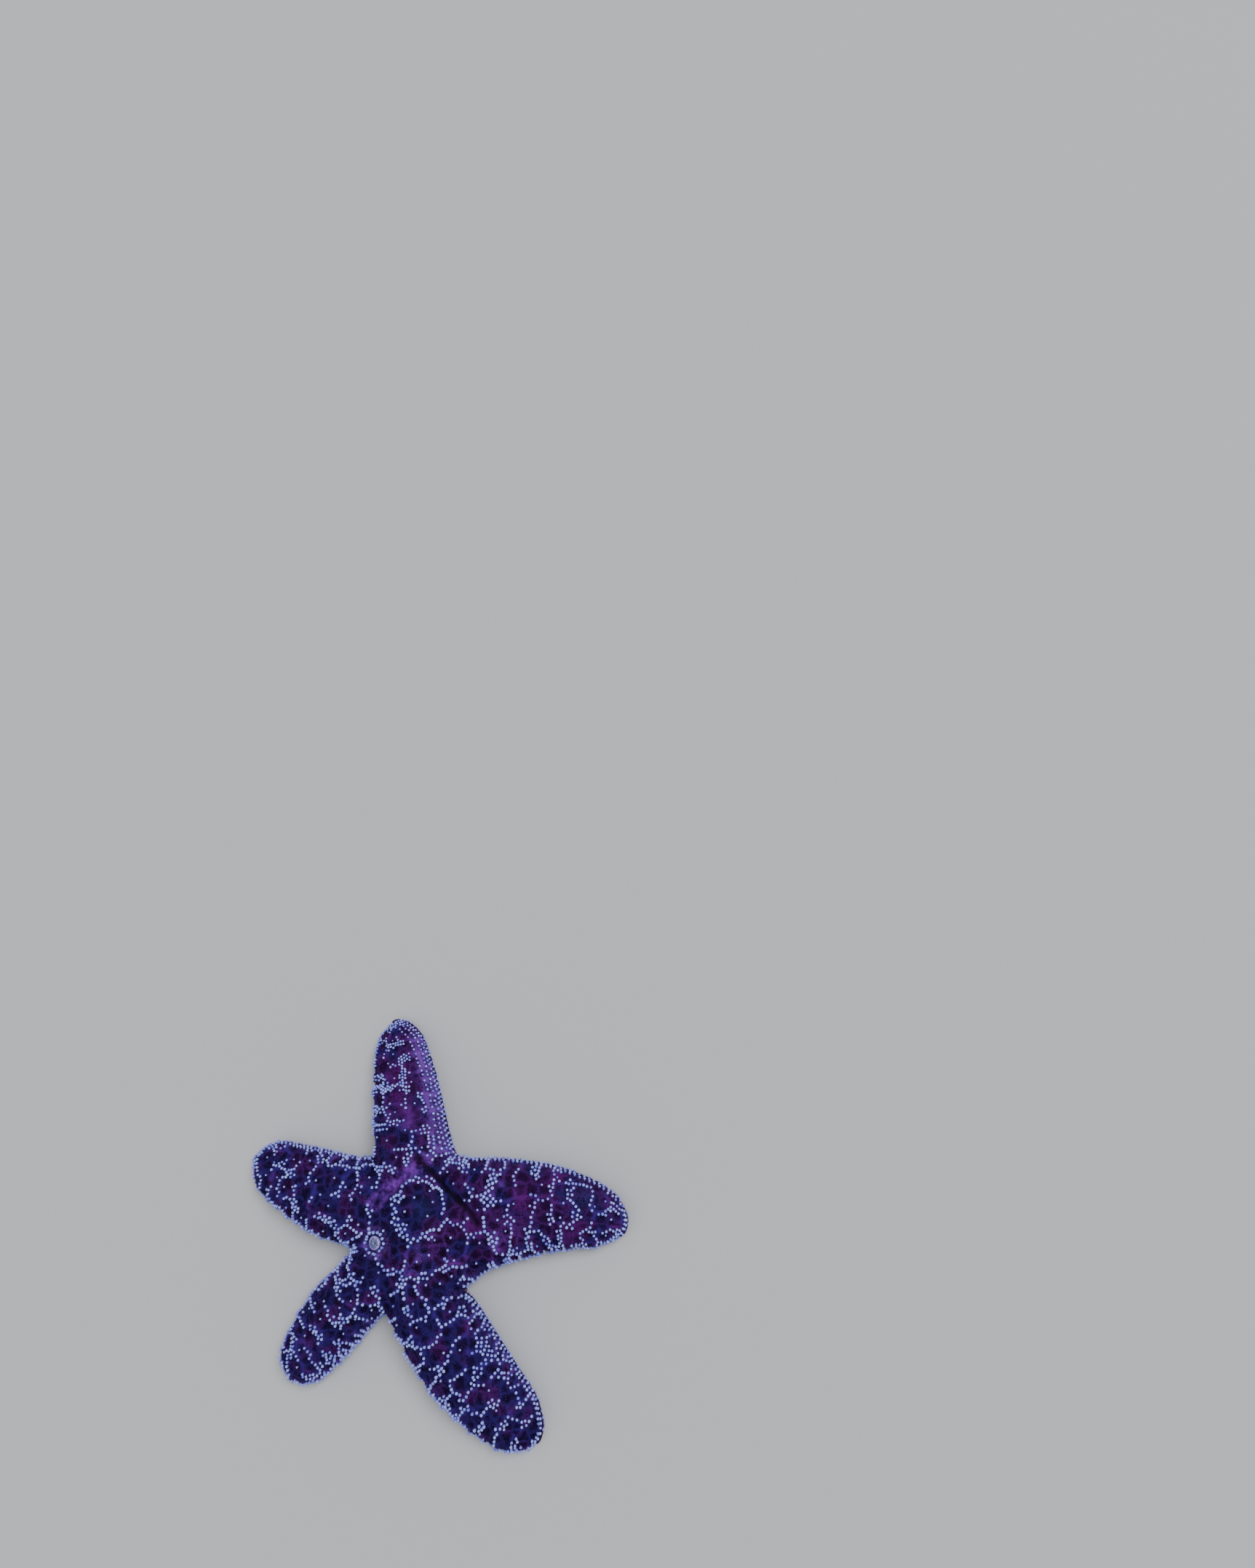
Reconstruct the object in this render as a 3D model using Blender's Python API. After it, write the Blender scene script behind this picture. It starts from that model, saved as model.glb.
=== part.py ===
"""Purple sea star, Pisaster ochraceus, at life size: five stout arms round a domed disc.

Metres, +Z up. The body lies on its sole at z = 0, and the origin is under the middle of its disc. The solids
reach out to the tips of the spines, which grow from the finished skin. The body is modelled whole, in rows of
points that run across each arm, and is then parted by thin cuts into the disc and the five arms.
"""

import math

import bmesh
import bpy
import numpy as np
from mathutils import Vector

# Body, in metres
DISC_HEIGHT = 0.0310       # top of the disc over the sole
TIP_HEIGHT = 0.0135        # back of an arm just before its end rounds off
EDGE_HEIGHT = 0.0050       # widest line of the body over the sole
TUCK = 0.0050              # how far the flat sole starts inside the widest line
TUCK_SHARE = 0.35          # the most of the sole's half width that the tuck takes
NOSE_LENGTH = 0.0040       # stretch at an arm's end where the sole lifts off
TIP_ROUNDING = 0.0170      # stretch in which an arm's end rounds off
WEB_REACH = 0.0030         # how far the web in an axil runs out along an arm, besides its own width
BACK_FULLNESS = 2.15       # 2 gives an elliptic cross-section, more gives a fuller one
BACK_FALL = 2.2            # how late the back's height falls away towards the tip
DOME_SHARE = 0.6           # outer share of the disc over which the arms' sections melt into one dome
CUT = 0.0003               # thin cut between neighbouring solids
CUT_STAND_OFF = 0.0030     # how far outside an axil two neighbouring cuts meet

# Arms, anticlockwise seen from above. Each has the handles and the tip of the curve that its middle line takes
# from the centre, on the floor plan. Then come half its width near the tip, how late it narrows, how much it
# swells between root and tip, and how far its own sides start inside the axils
ARMS = {
    "arm_1": {
        "handles": ((-0.0160, 0.0420), (-0.0200, 0.0880)), "tip": (-0.0305, 0.1156),
        "end": 0.0136, "late": 1.9, "swell": 0.0005, "room": 0.0015,
    },
    "arm_2": {
        "handles": ((-0.0420, 0.0040), (-0.0820, 0.0180)), "tip": (-0.1183, 0.0330),
        "end": 0.0140, "late": 1.6, "swell": 0.0010, "room": 0.0015,
    },
    "arm_3": {
        "handles": ((-0.0310, -0.0250), (-0.0600, -0.0560)), "tip": (-0.0830, -0.0890),
        "end": 0.0140, "late": 1.7, "swell": 0.0030, "room": 0.0015,
    },
    "arm_4": {
        "handles": ((-0.0060, -0.0450), (0.0220, -0.0790)), "tip": (0.0700, -0.1090),
        "end": 0.0140, "late": 1.5, "swell": 0.0040, "room": 0.0010,
    },
    "arm_5": {
        "handles": ((0.0350, 0.0080), (0.0900, 0.0180)), "tip": (0.1170, -0.0030),
        "end": 0.0140, "late": 1.6, "swell": 0.0000, "room": 0.0060,
    },
}

# Axils, the notches between neighbouring arms: bearing from the centre in degrees, and distance from it
AXILS = {
    ("arm_5", "arm_1"): (69.0, 0.0410),
    ("arm_1", "arm_2"): (135.0, 0.0530),
    ("arm_2", "arm_3"): (199.0, 0.0500),
    ("arm_3", "arm_4"): (246.0, 0.0570),
    ("arm_4", "arm_5"): (304.0, 0.0440),
}

# Grooves under the arms, and the tube feet and eyespots in them
GROOVE_HALF_WIDTH = (0.0028, 0.0052, 0.0026)   # at the centre, at its widest and at the tip
GROOVE_WIDEST = 0.3                            # share of the arm's length at which its groove is widest
GROOVE_DEPTH = (0.0065, 0.0038)                # at the mouth and at the tip
GROOVE_ARCH = 0.75                             # rise of the groove's vault over its half width
GROOVE_START = 0.0040                          # of the groove from the centre, inside the mouth's recess
GROOVE_OVERRUN = 0.0020                        # how far a groove's cutter passes the arm's end and the sole
FEET_CLEARANCE = 0.0003                        # between the packed tube feet and their groove, and the floor
FEET_START = 0.0130                            # distance of the tube feet from the centre
FEET_END = 0.0095                              # distance of the tube feet from the arm's tip
EYESPOT_RADII = (0.0016, 0.0012, 0.0010)
EYESPOT_INSET = 0.0032                         # distance of the eyespot from the arm's tip

# Mouth: the recess in the disc's underside, and the profile of the lips as radius and height, from the middle out
MOUTH_RADIUS = 0.0095
MOUTH_DEPTH = 0.0068
MOUTH_SHOULDER = (0.8, 0.7)                    # shares of radius and depth at which the recess's wall turns in
LIPS = ((0.0000, 0.0052), (0.0012, 0.0046), (0.0024, 0.0022), (0.0040, 0.0016), (0.0062, 0.0030), (0.0092, 0.0036))

# Madreporite, the sieve plate on the back, in the line from the centre to one axil
MADREPORITE_AXIL = ("arm_2", "arm_3")
MADREPORITE_DISTANCE = 0.0270                  # from the centre
MADREPORITE_SINK = 0.0017                      # of its face below the tips of the spines round it
MADREPORITE_RADIUS = 0.0042
MADREPORITE_THICKNESS = 0.0026
MADREPORITE_PROFILE = ((0.90, -1.00), (1.00, -0.60), (1.00, -0.35), (0.86, -0.10))   # in radii and thicknesses
SOCKET_RISE = 0.0040                           # how far its socket's cutter rises out of the back
SOCKET_FLARE = 0.0010                          # how much wider that cutter is at its top

# Linear colours and roughness
FLESH = ((0.14, 0.03, 0.165), 0.45)
TUBE_FEET = ((0.62, 0.50, 0.36), 0.35)
LIP_SKIN = ((0.55, 0.42, 0.34), 0.40)
SIEVE = ((0.45, 0.40, 0.60), 0.50)
EYE_RED = ((0.55, 0.05, 0.02), 0.25)

# Fineness of the meshes
LINE_STEPS = 400
ACROSS_BACK = 7
TUCK_TURNS = (math.pi / 4, math.pi / 2)
ROWS_IN_TIP = 5
ROWS_IN_ARM = 8
DISC_ROWS = (0.985, 0.95, 0.89, 0.79, 0.66, 0.52, 0.38, 0.25, 0.12, 0.0)   # shares of the way out to an axil
GROOVE_STEPS = 18
ARCH_STEPS = 6
MOUTH_SEGMENTS = 30
MADREPORITE_SEGMENTS = 24
EYESPOT_SEGMENTS = (12, 8)
MERGE = 1e-6

# Cutters reach this far past the body
CUTTER_HEIGHTS = (-0.01, 0.05)
CUTTER_REACH = 0.2


def between(pair, share):
    """The value at a share of the way from the first of a pair to the second."""
    return pair[0] + (pair[1] - pair[0]) * share


def smooth_step(x):
    x = min(max(x, 0.0), 1.0)
    return x * x * (3 - 2 * x)


def superellipse(share):
    """The height left at a share of the way out, both as shares of the full height and width."""
    return (1 - share**BACK_FULLNESS) ** (1 / BACK_FULLNESS)


def on_plan(bearing, distance):
    """A point of the floor plan from its bearing in degrees and its distance from the centre."""
    turn = math.radians(bearing)
    return Vector((math.cos(turn), math.sin(turn))) * distance


class Arm:
    """The middle line of an arm and the sizes along it."""

    def __init__(self, name):
        sizes = ARMS[name]
        share = np.linspace(0, 1, LINE_STEPS + 1)[:, None]
        near, far = (np.array(handle) for handle in sizes["handles"])
        tip = np.array(sizes["tip"])
        self.line = 3 * share * (1 - share) ** 2 * near + 3 * share**2 * (1 - share) * far + share**3 * tip
        steps = np.linalg.norm(np.diff(self.line, axis=0), axis=1)
        self.distance = np.concatenate([[0], np.cumsum(steps)])
        self.length = self.distance[-1]
        self.end, self.late, self.swell = sizes["end"], sizes["late"], sizes["swell"]
        self.axils = {}
        for (right_arm, left_arm), place in AXILS.items():
            if name == right_arm:
                self.axils[1] = on_plan(*place)
            if name == left_arm:
                self.axils[-1] = on_plan(*place)
        ahead = Vector(self.line[LINE_STEPS // 3]).normalized()
        self.axil_distance = sum(axil.dot(ahead) for axil in self.axils.values()) / 2
        middle, left = self.place(self.axil_distance)
        self.root = sum((axil - middle).dot(left) * side for side, axil in self.axils.items()) / 2
        self.root -= sizes["room"]

    def place(self, distance):
        """The point of the middle line at a distance from the centre, and the direction to its left there."""
        reach = 0.001
        near = min(max(distance, reach), self.length - reach)
        point, behind, before = (
            Vector([np.interp(at, self.distance, self.line[:, i]) for i in (0, 1)])
            for at in (distance, near - reach, near + reach)
        )
        ahead = (before - behind).normalized()
        return point, Vector((-ahead.y, ahead.x))

    def rounding(self, distance):
        """The share of its full size that the arm's end keeps as it rounds off."""
        into = (distance - (self.length - TIP_ROUNDING)) / TIP_ROUNDING
        return math.sqrt(1 - min(max(into, 0), 1) ** 2)

    def half_width(self, distance):
        along = max(distance - self.axil_distance, 0) / (self.length - self.axil_distance)
        full = between((self.root, self.end), along**self.late) + self.swell * math.sin(math.pi * along)
        return full * self.rounding(distance)

    def back_height(self, distance):
        full = between((DISC_HEIGHT, TIP_HEIGHT), (distance / self.length) ** BACK_FALL)
        return between((EDGE_HEIGHT, full), self.rounding(distance))

    def margin(self, distance, side):
        """The widest point of one side. Near the axil the two arms' sides run into each other in a round web."""
        point, left = self.place(distance)
        at_axil, left_there = self.place(self.axil_distance)
        free = point + left * side * self.half_width(distance)
        web = self.axils[side] - (at_axil + left_there * side * self.half_width(self.axil_distance))
        past = distance - self.axil_distance
        fade = math.exp(-past / (web.length + WEB_REACH)) * (1 - past / (self.length - self.axil_distance))
        return free + web * fade

    def rows(self):
        """Distances from the centre of the rows beyond the axils, from the tip inwards."""
        start = self.length - TIP_ROUNDING
        turns = [math.pi / 2 * i / ROWS_IN_TIP for i in range(ROWS_IN_TIP)]
        rounded = [self.length - TIP_ROUNDING * (1 - math.cos(turn)) for turn in turns]
        return rounded + [between((start, self.axil_distance), i / ROWS_IN_ARM) for i in range(ROWS_IN_ARM + 1)]


def back_row(arm, side, distance, share=None):
    """Points from an arm's middle line, over its back, to its margin. With a share of the way out to the axil,
    the row lies in the disc and ends on the line that runs from the centre to that axil."""
    middle, _ = arm.place(distance)
    height = arm.back_height(distance)
    if share is None:
        end, end_height, blend = arm.margin(distance, side), EDGE_HEIGHT, 0.0
    else:
        end, end_height = arm.axils[side] * share, between((EDGE_HEIGHT, DISC_HEIGHT), superellipse(share))
        blend = smooth_step((1 - share) / DOME_SHARE)
    points = []
    for i in range(ACROSS_BACK + 1):
        across = i / ACROSS_BACK
        turn = across * math.pi / 2
        out = between((math.sin(turn) ** (2 / BACK_FULLNESS), across), blend)
        arch = abs(math.cos(turn)) ** (2 / BACK_FULLNESS)
        lift = between((arch, (1 + math.cos(across * math.pi)) / 2), blend)
        points.append((*middle.lerp(end, out), between((end_height, height), lift)))
    return points


def sole_row(arm, side, distance, share=None):
    """Points from the margin, round the tuck below it, along the flat sole to the middle line."""
    middle, _ = arm.place(distance)
    if share is None:
        end, end_height = arm.margin(distance, side), EDGE_HEIGHT
        into_nose = min(max((distance - arm.length + NOSE_LENGTH) / NOSE_LENGTH, 0), 1)
        sole = EDGE_HEIGHT * (1 - math.sqrt(1 - into_nose**2))
    else:
        end = arm.axils[side] * share
        tucked = min(arm.axils[side].length * (1 - share) / TUCK, 1)
        end_height = EDGE_HEIGHT * (1 - math.sqrt(1 - (1 - tucked) ** 2))
        sole = 0.0
    length = (end - middle).length
    inset = min(TUCK, TUCK_SHARE * length)
    points = [(*end, end_height)]
    for turn in TUCK_TURNS:
        out = 1 - inset * (1 - math.cos(turn)) / length if length else 1
        points.append((*middle.lerp(end, out), between((end_height, sole), math.sin(turn))))
    points.append((*middle, sole))
    return points


def add_material(node, look):
    colour, roughness = look
    material = bpy.data.materials.new(node.name)
    material.use_nodes = True
    shader = material.node_tree.nodes["Principled BSDF"]
    shader.inputs["Base Color"].default_value = (*colour, 1)
    shader.inputs["Roughness"].default_value = roughness
    shader.inputs["Metallic"].default_value = 0
    node.data.materials.clear()
    node.data.materials.append(material)


def object_from(name, bm, cutter=False):
    bmesh.ops.remove_doubles(bm, verts=bm.verts, dist=MERGE)
    bmesh.ops.recalc_face_normals(bm, faces=bm.faces)
    mesh = bpy.data.meshes.new(name)
    bm.to_mesh(mesh)
    bm.free()
    node = bpy.data.objects.new(name, mesh)
    bpy.context.collection.objects.link(node)
    if cutter:
        node.hide_render = True
        node.display_type = "WIRE"
    else:
        mesh.shade_smooth()
    return node


def add_grid(bm, rows, closed=False):
    """Faces between neighbouring rows of points. A closed grid's rows are rings, and caps close its ends."""
    lines = [[bm.verts.new(point) for point in row] for row in rows]
    for first, second in zip(lines, lines[1:]):
        for i in range(0 if closed else 1, len(first)):
            bm.faces.new((first[i - 1], first[i], second[i], second[i - 1]))
    if closed:
        bm.faces.new(lines[0])
        bm.faces.new(lines[-1])


def whole_body(arms):
    """The disc and arms as one closed mesh, which the thin cuts divide."""
    bm = bmesh.new()
    for arm in arms.values():
        for side in (1, -1):
            for row in (back_row, sole_row):
                rows = [row(arm, side, distance) for distance in arm.rows()]
                rows += [row(arm, side, arm.axil_distance * share, share) for share in DISC_ROWS]
                add_grid(bm, rows)
    return object_from("whole_body", bm, cutter=True)


def prism(name, outline):
    """An upright cutter on an outline of the floor plan."""
    bm = bmesh.new()
    add_grid(bm, [[(*point, height) for point in outline] for height in CUTTER_HEIGHTS], closed=True)
    return object_from(name, bm, cutter=True)


def tunnel(name, arm, ends, low, slack, cutter):
    """An arched bar that follows an arm's groove, its walls drawn in from the groove's by a slack."""
    rings = []
    for step in range(GROOVE_STEPS + 1):
        distance = between(ends, step / GROOVE_STEPS)
        point, left = arm.place(distance)
        if distance > arm.length:
            point = point + Vector((left.y, -left.x)) * (distance - arm.length)
        share = min(distance / arm.length, 1)
        half = float(np.interp(share, (0, GROOVE_WIDEST, 1), GROOVE_HALF_WIDTH)) - slack
        rise = half * GROOVE_ARCH
        spring = between(GROOVE_DEPTH, share) - slack - rise
        turns = [math.pi * i / ARCH_STEPS for i in range(ARCH_STEPS + 1)]
        arch = [(-half * math.cos(turn), spring + rise * math.sin(turn)) for turn in turns]
        section = [(-half, low), *arch, (half, low)]
        rings.append([(*(point + left * x), z) for x, z in section])
    bm = bmesh.new()
    add_grid(bm, rings, closed=True)
    return object_from(name, bm, cutter)


def turned(name, profile, segments, cutter=False):
    """A body of revolution about +Z from (radius, height) pairs that start and end on the axis."""
    bm = bmesh.new()
    points = [bm.verts.new((radius, 0, height)) for radius, height in profile]
    edges = [bm.edges.new(pair) for pair in zip(points, points[1:])]
    bmesh.ops.spin(
        bm, geom=points + edges, cent=(0, 0, 0), axis=(0, 0, 1), angle=2 * math.pi, steps=segments, use_merge=True
    )
    return object_from(name, bm, cutter)


def boolean(node, other, operation):
    cut = node.modifiers.new(other.name, "BOOLEAN")
    cut.object = other
    cut.operation = operation
    cut.solver = "EXACT"


def copy_of(node, name):
    copy = bpy.data.objects.new(name, node.data.copy())
    bpy.context.collection.objects.link(copy)
    return copy


def way_out_of_axil(first, second):
    """The direction on the plan that halves the opening between two neighbouring arms."""
    away = 0.020
    sides = (first.margin(first.axil_distance + away, 1), second.margin(second.axil_distance + away, -1))
    return sum(((side - first.axils[1]).normalized() for side in sides), Vector((0, 0))).normalized()


def make_flesh(arms, body):
    """The disc and five arms. Their cuts run from axil to axil and meet just outside the body."""
    outwards = [way_out_of_axil(arms[first], arms[second]) for first, second in AXILS]
    corners = [on_plan(*axil) + out * CUT_STAND_OFF for axil, out in zip(AXILS.values(), outwards)]
    disc = copy_of(body, "disc")
    boolean(disc, prism("disc_cutter", corners), "INTERSECT")
    cut_mouth_recess(disc)
    add_material(disc, FLESH)
    for i, (_, name) in enumerate(AXILS):
        arm, after = arms[name], (i + 1) % len(corners)
        right, left = corners[i], corners[after]
        chord = (left - right).normalized()
        gap = Vector((chord.y, -chord.x)) * CUT
        far = [right + outwards[i] * CUTTER_REACH, left + outwards[after] * CUTTER_REACH]
        node = copy_of(body, name)
        boolean(node, prism(name + "_cutter", [right + gap, *far, left + gap]), "INTERSECT")
        ends = (GROOVE_START, arm.length + GROOVE_OVERRUN)
        groove = tunnel(name + "_groove", arm, ends, -GROOVE_OVERRUN, 0.0, cutter=True)
        boolean(node, groove, "DIFFERENCE")
        boolean(disc, groove, "DIFFERENCE")
        add_material(node, FLESH)
    return disc


def cut_mouth_recess(disc):
    shoulder_radius, shoulder_height = MOUTH_RADIUS * MOUTH_SHOULDER[0], MOUTH_DEPTH * MOUTH_SHOULDER[1]
    recess = [(0, -GROOVE_OVERRUN), (MOUTH_RADIUS, -GROOVE_OVERRUN), (MOUTH_RADIUS, shoulder_height),
              (shoulder_radius, MOUTH_DEPTH), (0, MOUTH_DEPTH)]
    boolean(disc, turned("mouth_recess", recess, MOUTH_SEGMENTS, cutter=True), "DIFFERENCE")


def make_mouth():
    """The soft skin round the mouth, sunk in the middle of the underside, with the mouth at its centre."""
    radius, top = MOUTH_RADIUS - CUT, MOUTH_DEPTH - CUT
    filling = [(radius, MOUTH_DEPTH * MOUTH_SHOULDER[1] - CUT), (radius * MOUTH_SHOULDER[0], top), (0, top)]
    add_material(turned("mouth", [*LIPS, *filling], MOUTH_SEGMENTS), LIP_SKIN)


def make_tube_feet(arm, name):
    """The packed tube feet fill an arm's groove from the mouth to just short of the tip."""
    ends = (FEET_START, arm.length - FEET_END)
    add_material(tunnel(name, arm, ends, FEET_CLEARANCE, FEET_CLEARANCE, cutter=False), TUBE_FEET)


def make_eyespot(arm, name):
    """The red eyespot under the end of an arm, just inside the mouth of its groove."""
    bm = bmesh.new()
    around, up = EYESPOT_SEGMENTS
    bmesh.ops.create_uvsphere(bm, u_segments=around, v_segments=up, radius=1)
    distance = arm.length - EYESPOT_INSET
    point, left = arm.place(distance)
    ahead = Vector((left.y, -left.x))
    height = between(GROOVE_DEPTH, distance / arm.length) - FEET_CLEARANCE - EYESPOT_RADII[2]
    for vert in bm.verts:
        x, y, z = (value * radius for value, radius in zip(vert.co, EYESPOT_RADII))
        vert.co = (*(point + ahead * x + left * y), height + z)
    add_material(object_from(name, bm), EYE_RED)


def on_ridge(bearing, distance, reach):
    """A point of the disc's back in the line from the centre to an axil at the given reach."""
    height = between((EDGE_HEIGHT, DISC_HEIGHT), superellipse(distance / reach))
    return Vector((*on_plan(bearing, distance), height))


def make_madreporite(disc):
    """The sieve plate that lets water in: a low button in a socket of the disc's back, tilted with the back."""
    bearing, reach = AXILS[MADREPORITE_AXIL]
    step = 0.001
    inner, place, outer = (on_ridge(bearing, MADREPORITE_DISTANCE + d, reach) for d in (-step, 0, step))
    sideways = Vector((*on_plan(bearing + 90, 1), 0))
    up = (outer - inner).cross(sideways).normalized()
    radius, thick = MADREPORITE_RADIUS, MADREPORITE_THICKNESS
    wall, floor = radius + CUT, -thick - CUT
    hole = [(0, floor), (wall, floor), (wall + SOCKET_FLARE, SOCKET_RISE), (0, SOCKET_RISE)]
    button = [(0, -thick), *((r * radius, z * thick) for r, z in MADREPORITE_PROFILE), (0, 0)]
    socket = turned("madreporite_socket", hole, MADREPORITE_SEGMENTS, cutter=True)
    plate = turned("madreporite", button, MADREPORITE_SEGMENTS)
    for node in (socket, plate):
        node.rotation_mode = "QUATERNION"
        node.rotation_quaternion = up.to_track_quat("Z", "X")
        node.location = place - up * MADREPORITE_SINK
    boolean(disc, socket, "DIFFERENCE")
    add_material(plate, SIEVE)


def main():
    for node in list(bpy.data.objects):
        bpy.data.objects.remove(node, do_unlink=True)
    arms = {name: Arm(name) for name in ARMS}
    disc = make_flesh(arms, whole_body(arms))
    make_mouth()
    make_madreporite(disc)
    for name, arm in arms.items():
        number = name.split("_")[1]
        make_tube_feet(arm, "tube_feet_" + number)
        make_eyespot(arm, "eyespot_" + number)


main()
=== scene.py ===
import heapq
import math

import bpy
import numpy as np
from mathutils import Matrix, Vector, kdtree, noise


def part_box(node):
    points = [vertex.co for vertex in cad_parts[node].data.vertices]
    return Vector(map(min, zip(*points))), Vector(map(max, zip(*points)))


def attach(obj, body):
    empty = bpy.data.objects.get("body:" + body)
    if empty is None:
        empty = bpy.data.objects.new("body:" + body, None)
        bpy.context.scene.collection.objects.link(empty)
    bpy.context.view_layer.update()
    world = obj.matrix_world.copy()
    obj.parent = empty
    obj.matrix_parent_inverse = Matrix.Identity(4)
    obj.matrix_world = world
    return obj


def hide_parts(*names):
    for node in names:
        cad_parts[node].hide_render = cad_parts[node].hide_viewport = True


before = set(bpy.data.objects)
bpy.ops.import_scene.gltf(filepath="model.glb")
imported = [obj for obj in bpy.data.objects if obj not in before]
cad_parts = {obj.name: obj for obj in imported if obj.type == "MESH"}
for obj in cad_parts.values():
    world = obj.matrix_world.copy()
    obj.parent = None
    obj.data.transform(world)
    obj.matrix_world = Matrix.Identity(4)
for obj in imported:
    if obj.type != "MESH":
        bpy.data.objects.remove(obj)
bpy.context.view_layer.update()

# ------------------------------------------------------------------------------------------------------------
# Form of the body. A sea star is one leathery bag over a net of lime plates: five arms that run into a domed
# disc, flat below, where a furrow for the feet runs from each arm's tip to the mouth. The outline of these
# sizes runs through the tips of the spines, as the solids' does, and the skin lies inside it.

DISC_HEIGHT = 0.0310
TIP_HEIGHT = 0.0135        # back of an arm just before its end rounds off
EDGE_HEIGHT = 0.0050       # widest line of the body over the sole
TUCK = 0.0050              # how far the flat sole starts inside the widest line
TUCK_SHARE = 0.35          # the most of the sole's half width that the tuck takes
NOSE_LENGTH = 0.0040       # stretch at an arm's end where the sole lifts off
TIP_ROUNDING = 0.0170      # stretch in which an arm's end rounds off
WEB_REACH = 0.0030         # how far the web in a notch runs out along an arm, besides its own width
BACK_FULLNESS = 2.15       # 2 gives an elliptic cross-section, more gives a fuller one
BACK_FALL = 2.2            # how late the back's height falls away towards the tip
DOME_SHARE = 0.6           # outer share of the disc over which the arms' sections melt into one dome
LINE_STEPS = 400           # along an arm's middle line
BACK_STEPS = 80            # in a fine row over the back, round the tuck, and on along the sole
TUCK_STEPS = 12
SOLE_STEPS = 60

# Each arm, anticlockwise seen from above: the handles and the tip of its middle line's curve, half its width
# near the tip, how late it narrows, how much it swells, and how far its sides start inside the notches
ARMS = {
    "arm_1": {
        "handles": ((-0.0160, 0.0420), (-0.0200, 0.0880)), "tip": (-0.0305, 0.1156),
        "end": 0.0136, "late": 1.9, "swell": 0.0005, "room": 0.0015,
    },
    "arm_2": {
        "handles": ((-0.0420, 0.0040), (-0.0820, 0.0180)), "tip": (-0.1183, 0.0330),
        "end": 0.0140, "late": 1.6, "swell": 0.0010, "room": 0.0015,
    },
    "arm_3": {
        "handles": ((-0.0310, -0.0250), (-0.0600, -0.0560)), "tip": (-0.0830, -0.0890),
        "end": 0.0140, "late": 1.7, "swell": 0.0030, "room": 0.0015,
    },
    "arm_4": {
        "handles": ((-0.0060, -0.0450), (0.0220, -0.0790)), "tip": (0.0700, -0.1090),
        "end": 0.0140, "late": 1.5, "swell": 0.0040, "room": 0.0010,
    },
    "arm_5": {
        "handles": ((0.0350, 0.0080), (0.0900, 0.0180)), "tip": (0.1170, -0.0030),
        "end": 0.0140, "late": 1.6, "swell": 0.0000, "room": 0.0060,
    },
}

# Notches between neighbouring arms: bearing from the centre in degrees, and distance from it
NOTCHES = {
    ("arm_5", "arm_1"): (69.0, 0.0410),
    ("arm_1", "arm_2"): (135.0, 0.0530),
    ("arm_2", "arm_3"): (199.0, 0.0500),
    ("arm_3", "arm_4"): (246.0, 0.0570),
    ("arm_4", "arm_5"): (304.0, 0.0440),
}

FURROW_HALF_WIDTH = (0.0028, 0.0052, 0.0026)   # under the centre, at its widest and at the tip
FURROW_WIDEST = 0.3                            # share of the arm's length at which it is widest
FURROW_DEPTH = (0.0065, 0.0038)                # at the mouth and at the tip
FURROW_WALL = (0.8, 0.45)                      # shares of its half width: where its wall starts, and how wide
FURROW_ROOM = 0.75                             # the most of a row's length that half the furrow takes
MOUTH_RADIUS = 0.0095
MOUTH_DEPTH = 0.0068
MOUTH_WALL = (0.75, 0.35)                      # the same for the mouth, as shares of its radius


def between(pair, share):
    """The value at a share of the way from the first of a pair to the second."""
    return pair[0] + (pair[1] - pair[0]) * share


def smooth_step(x, start=0, width=1):
    """Rises smoothly from 0 at the start to 1 a width further on."""
    share = np.clip((x - start) / width, 0, 1)
    return share * share * (3 - 2 * share)


def on_plan(bearing, distance):
    turn = math.radians(bearing)
    return np.array((math.cos(turn), math.sin(turn))) * distance


def furrow_half_width(along):
    """Half the width of the foot furrow at a share of the way along its arm."""
    return np.interp(along, (0, FURROW_WIDEST, 1), FURROW_HALF_WIDTH)


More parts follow.
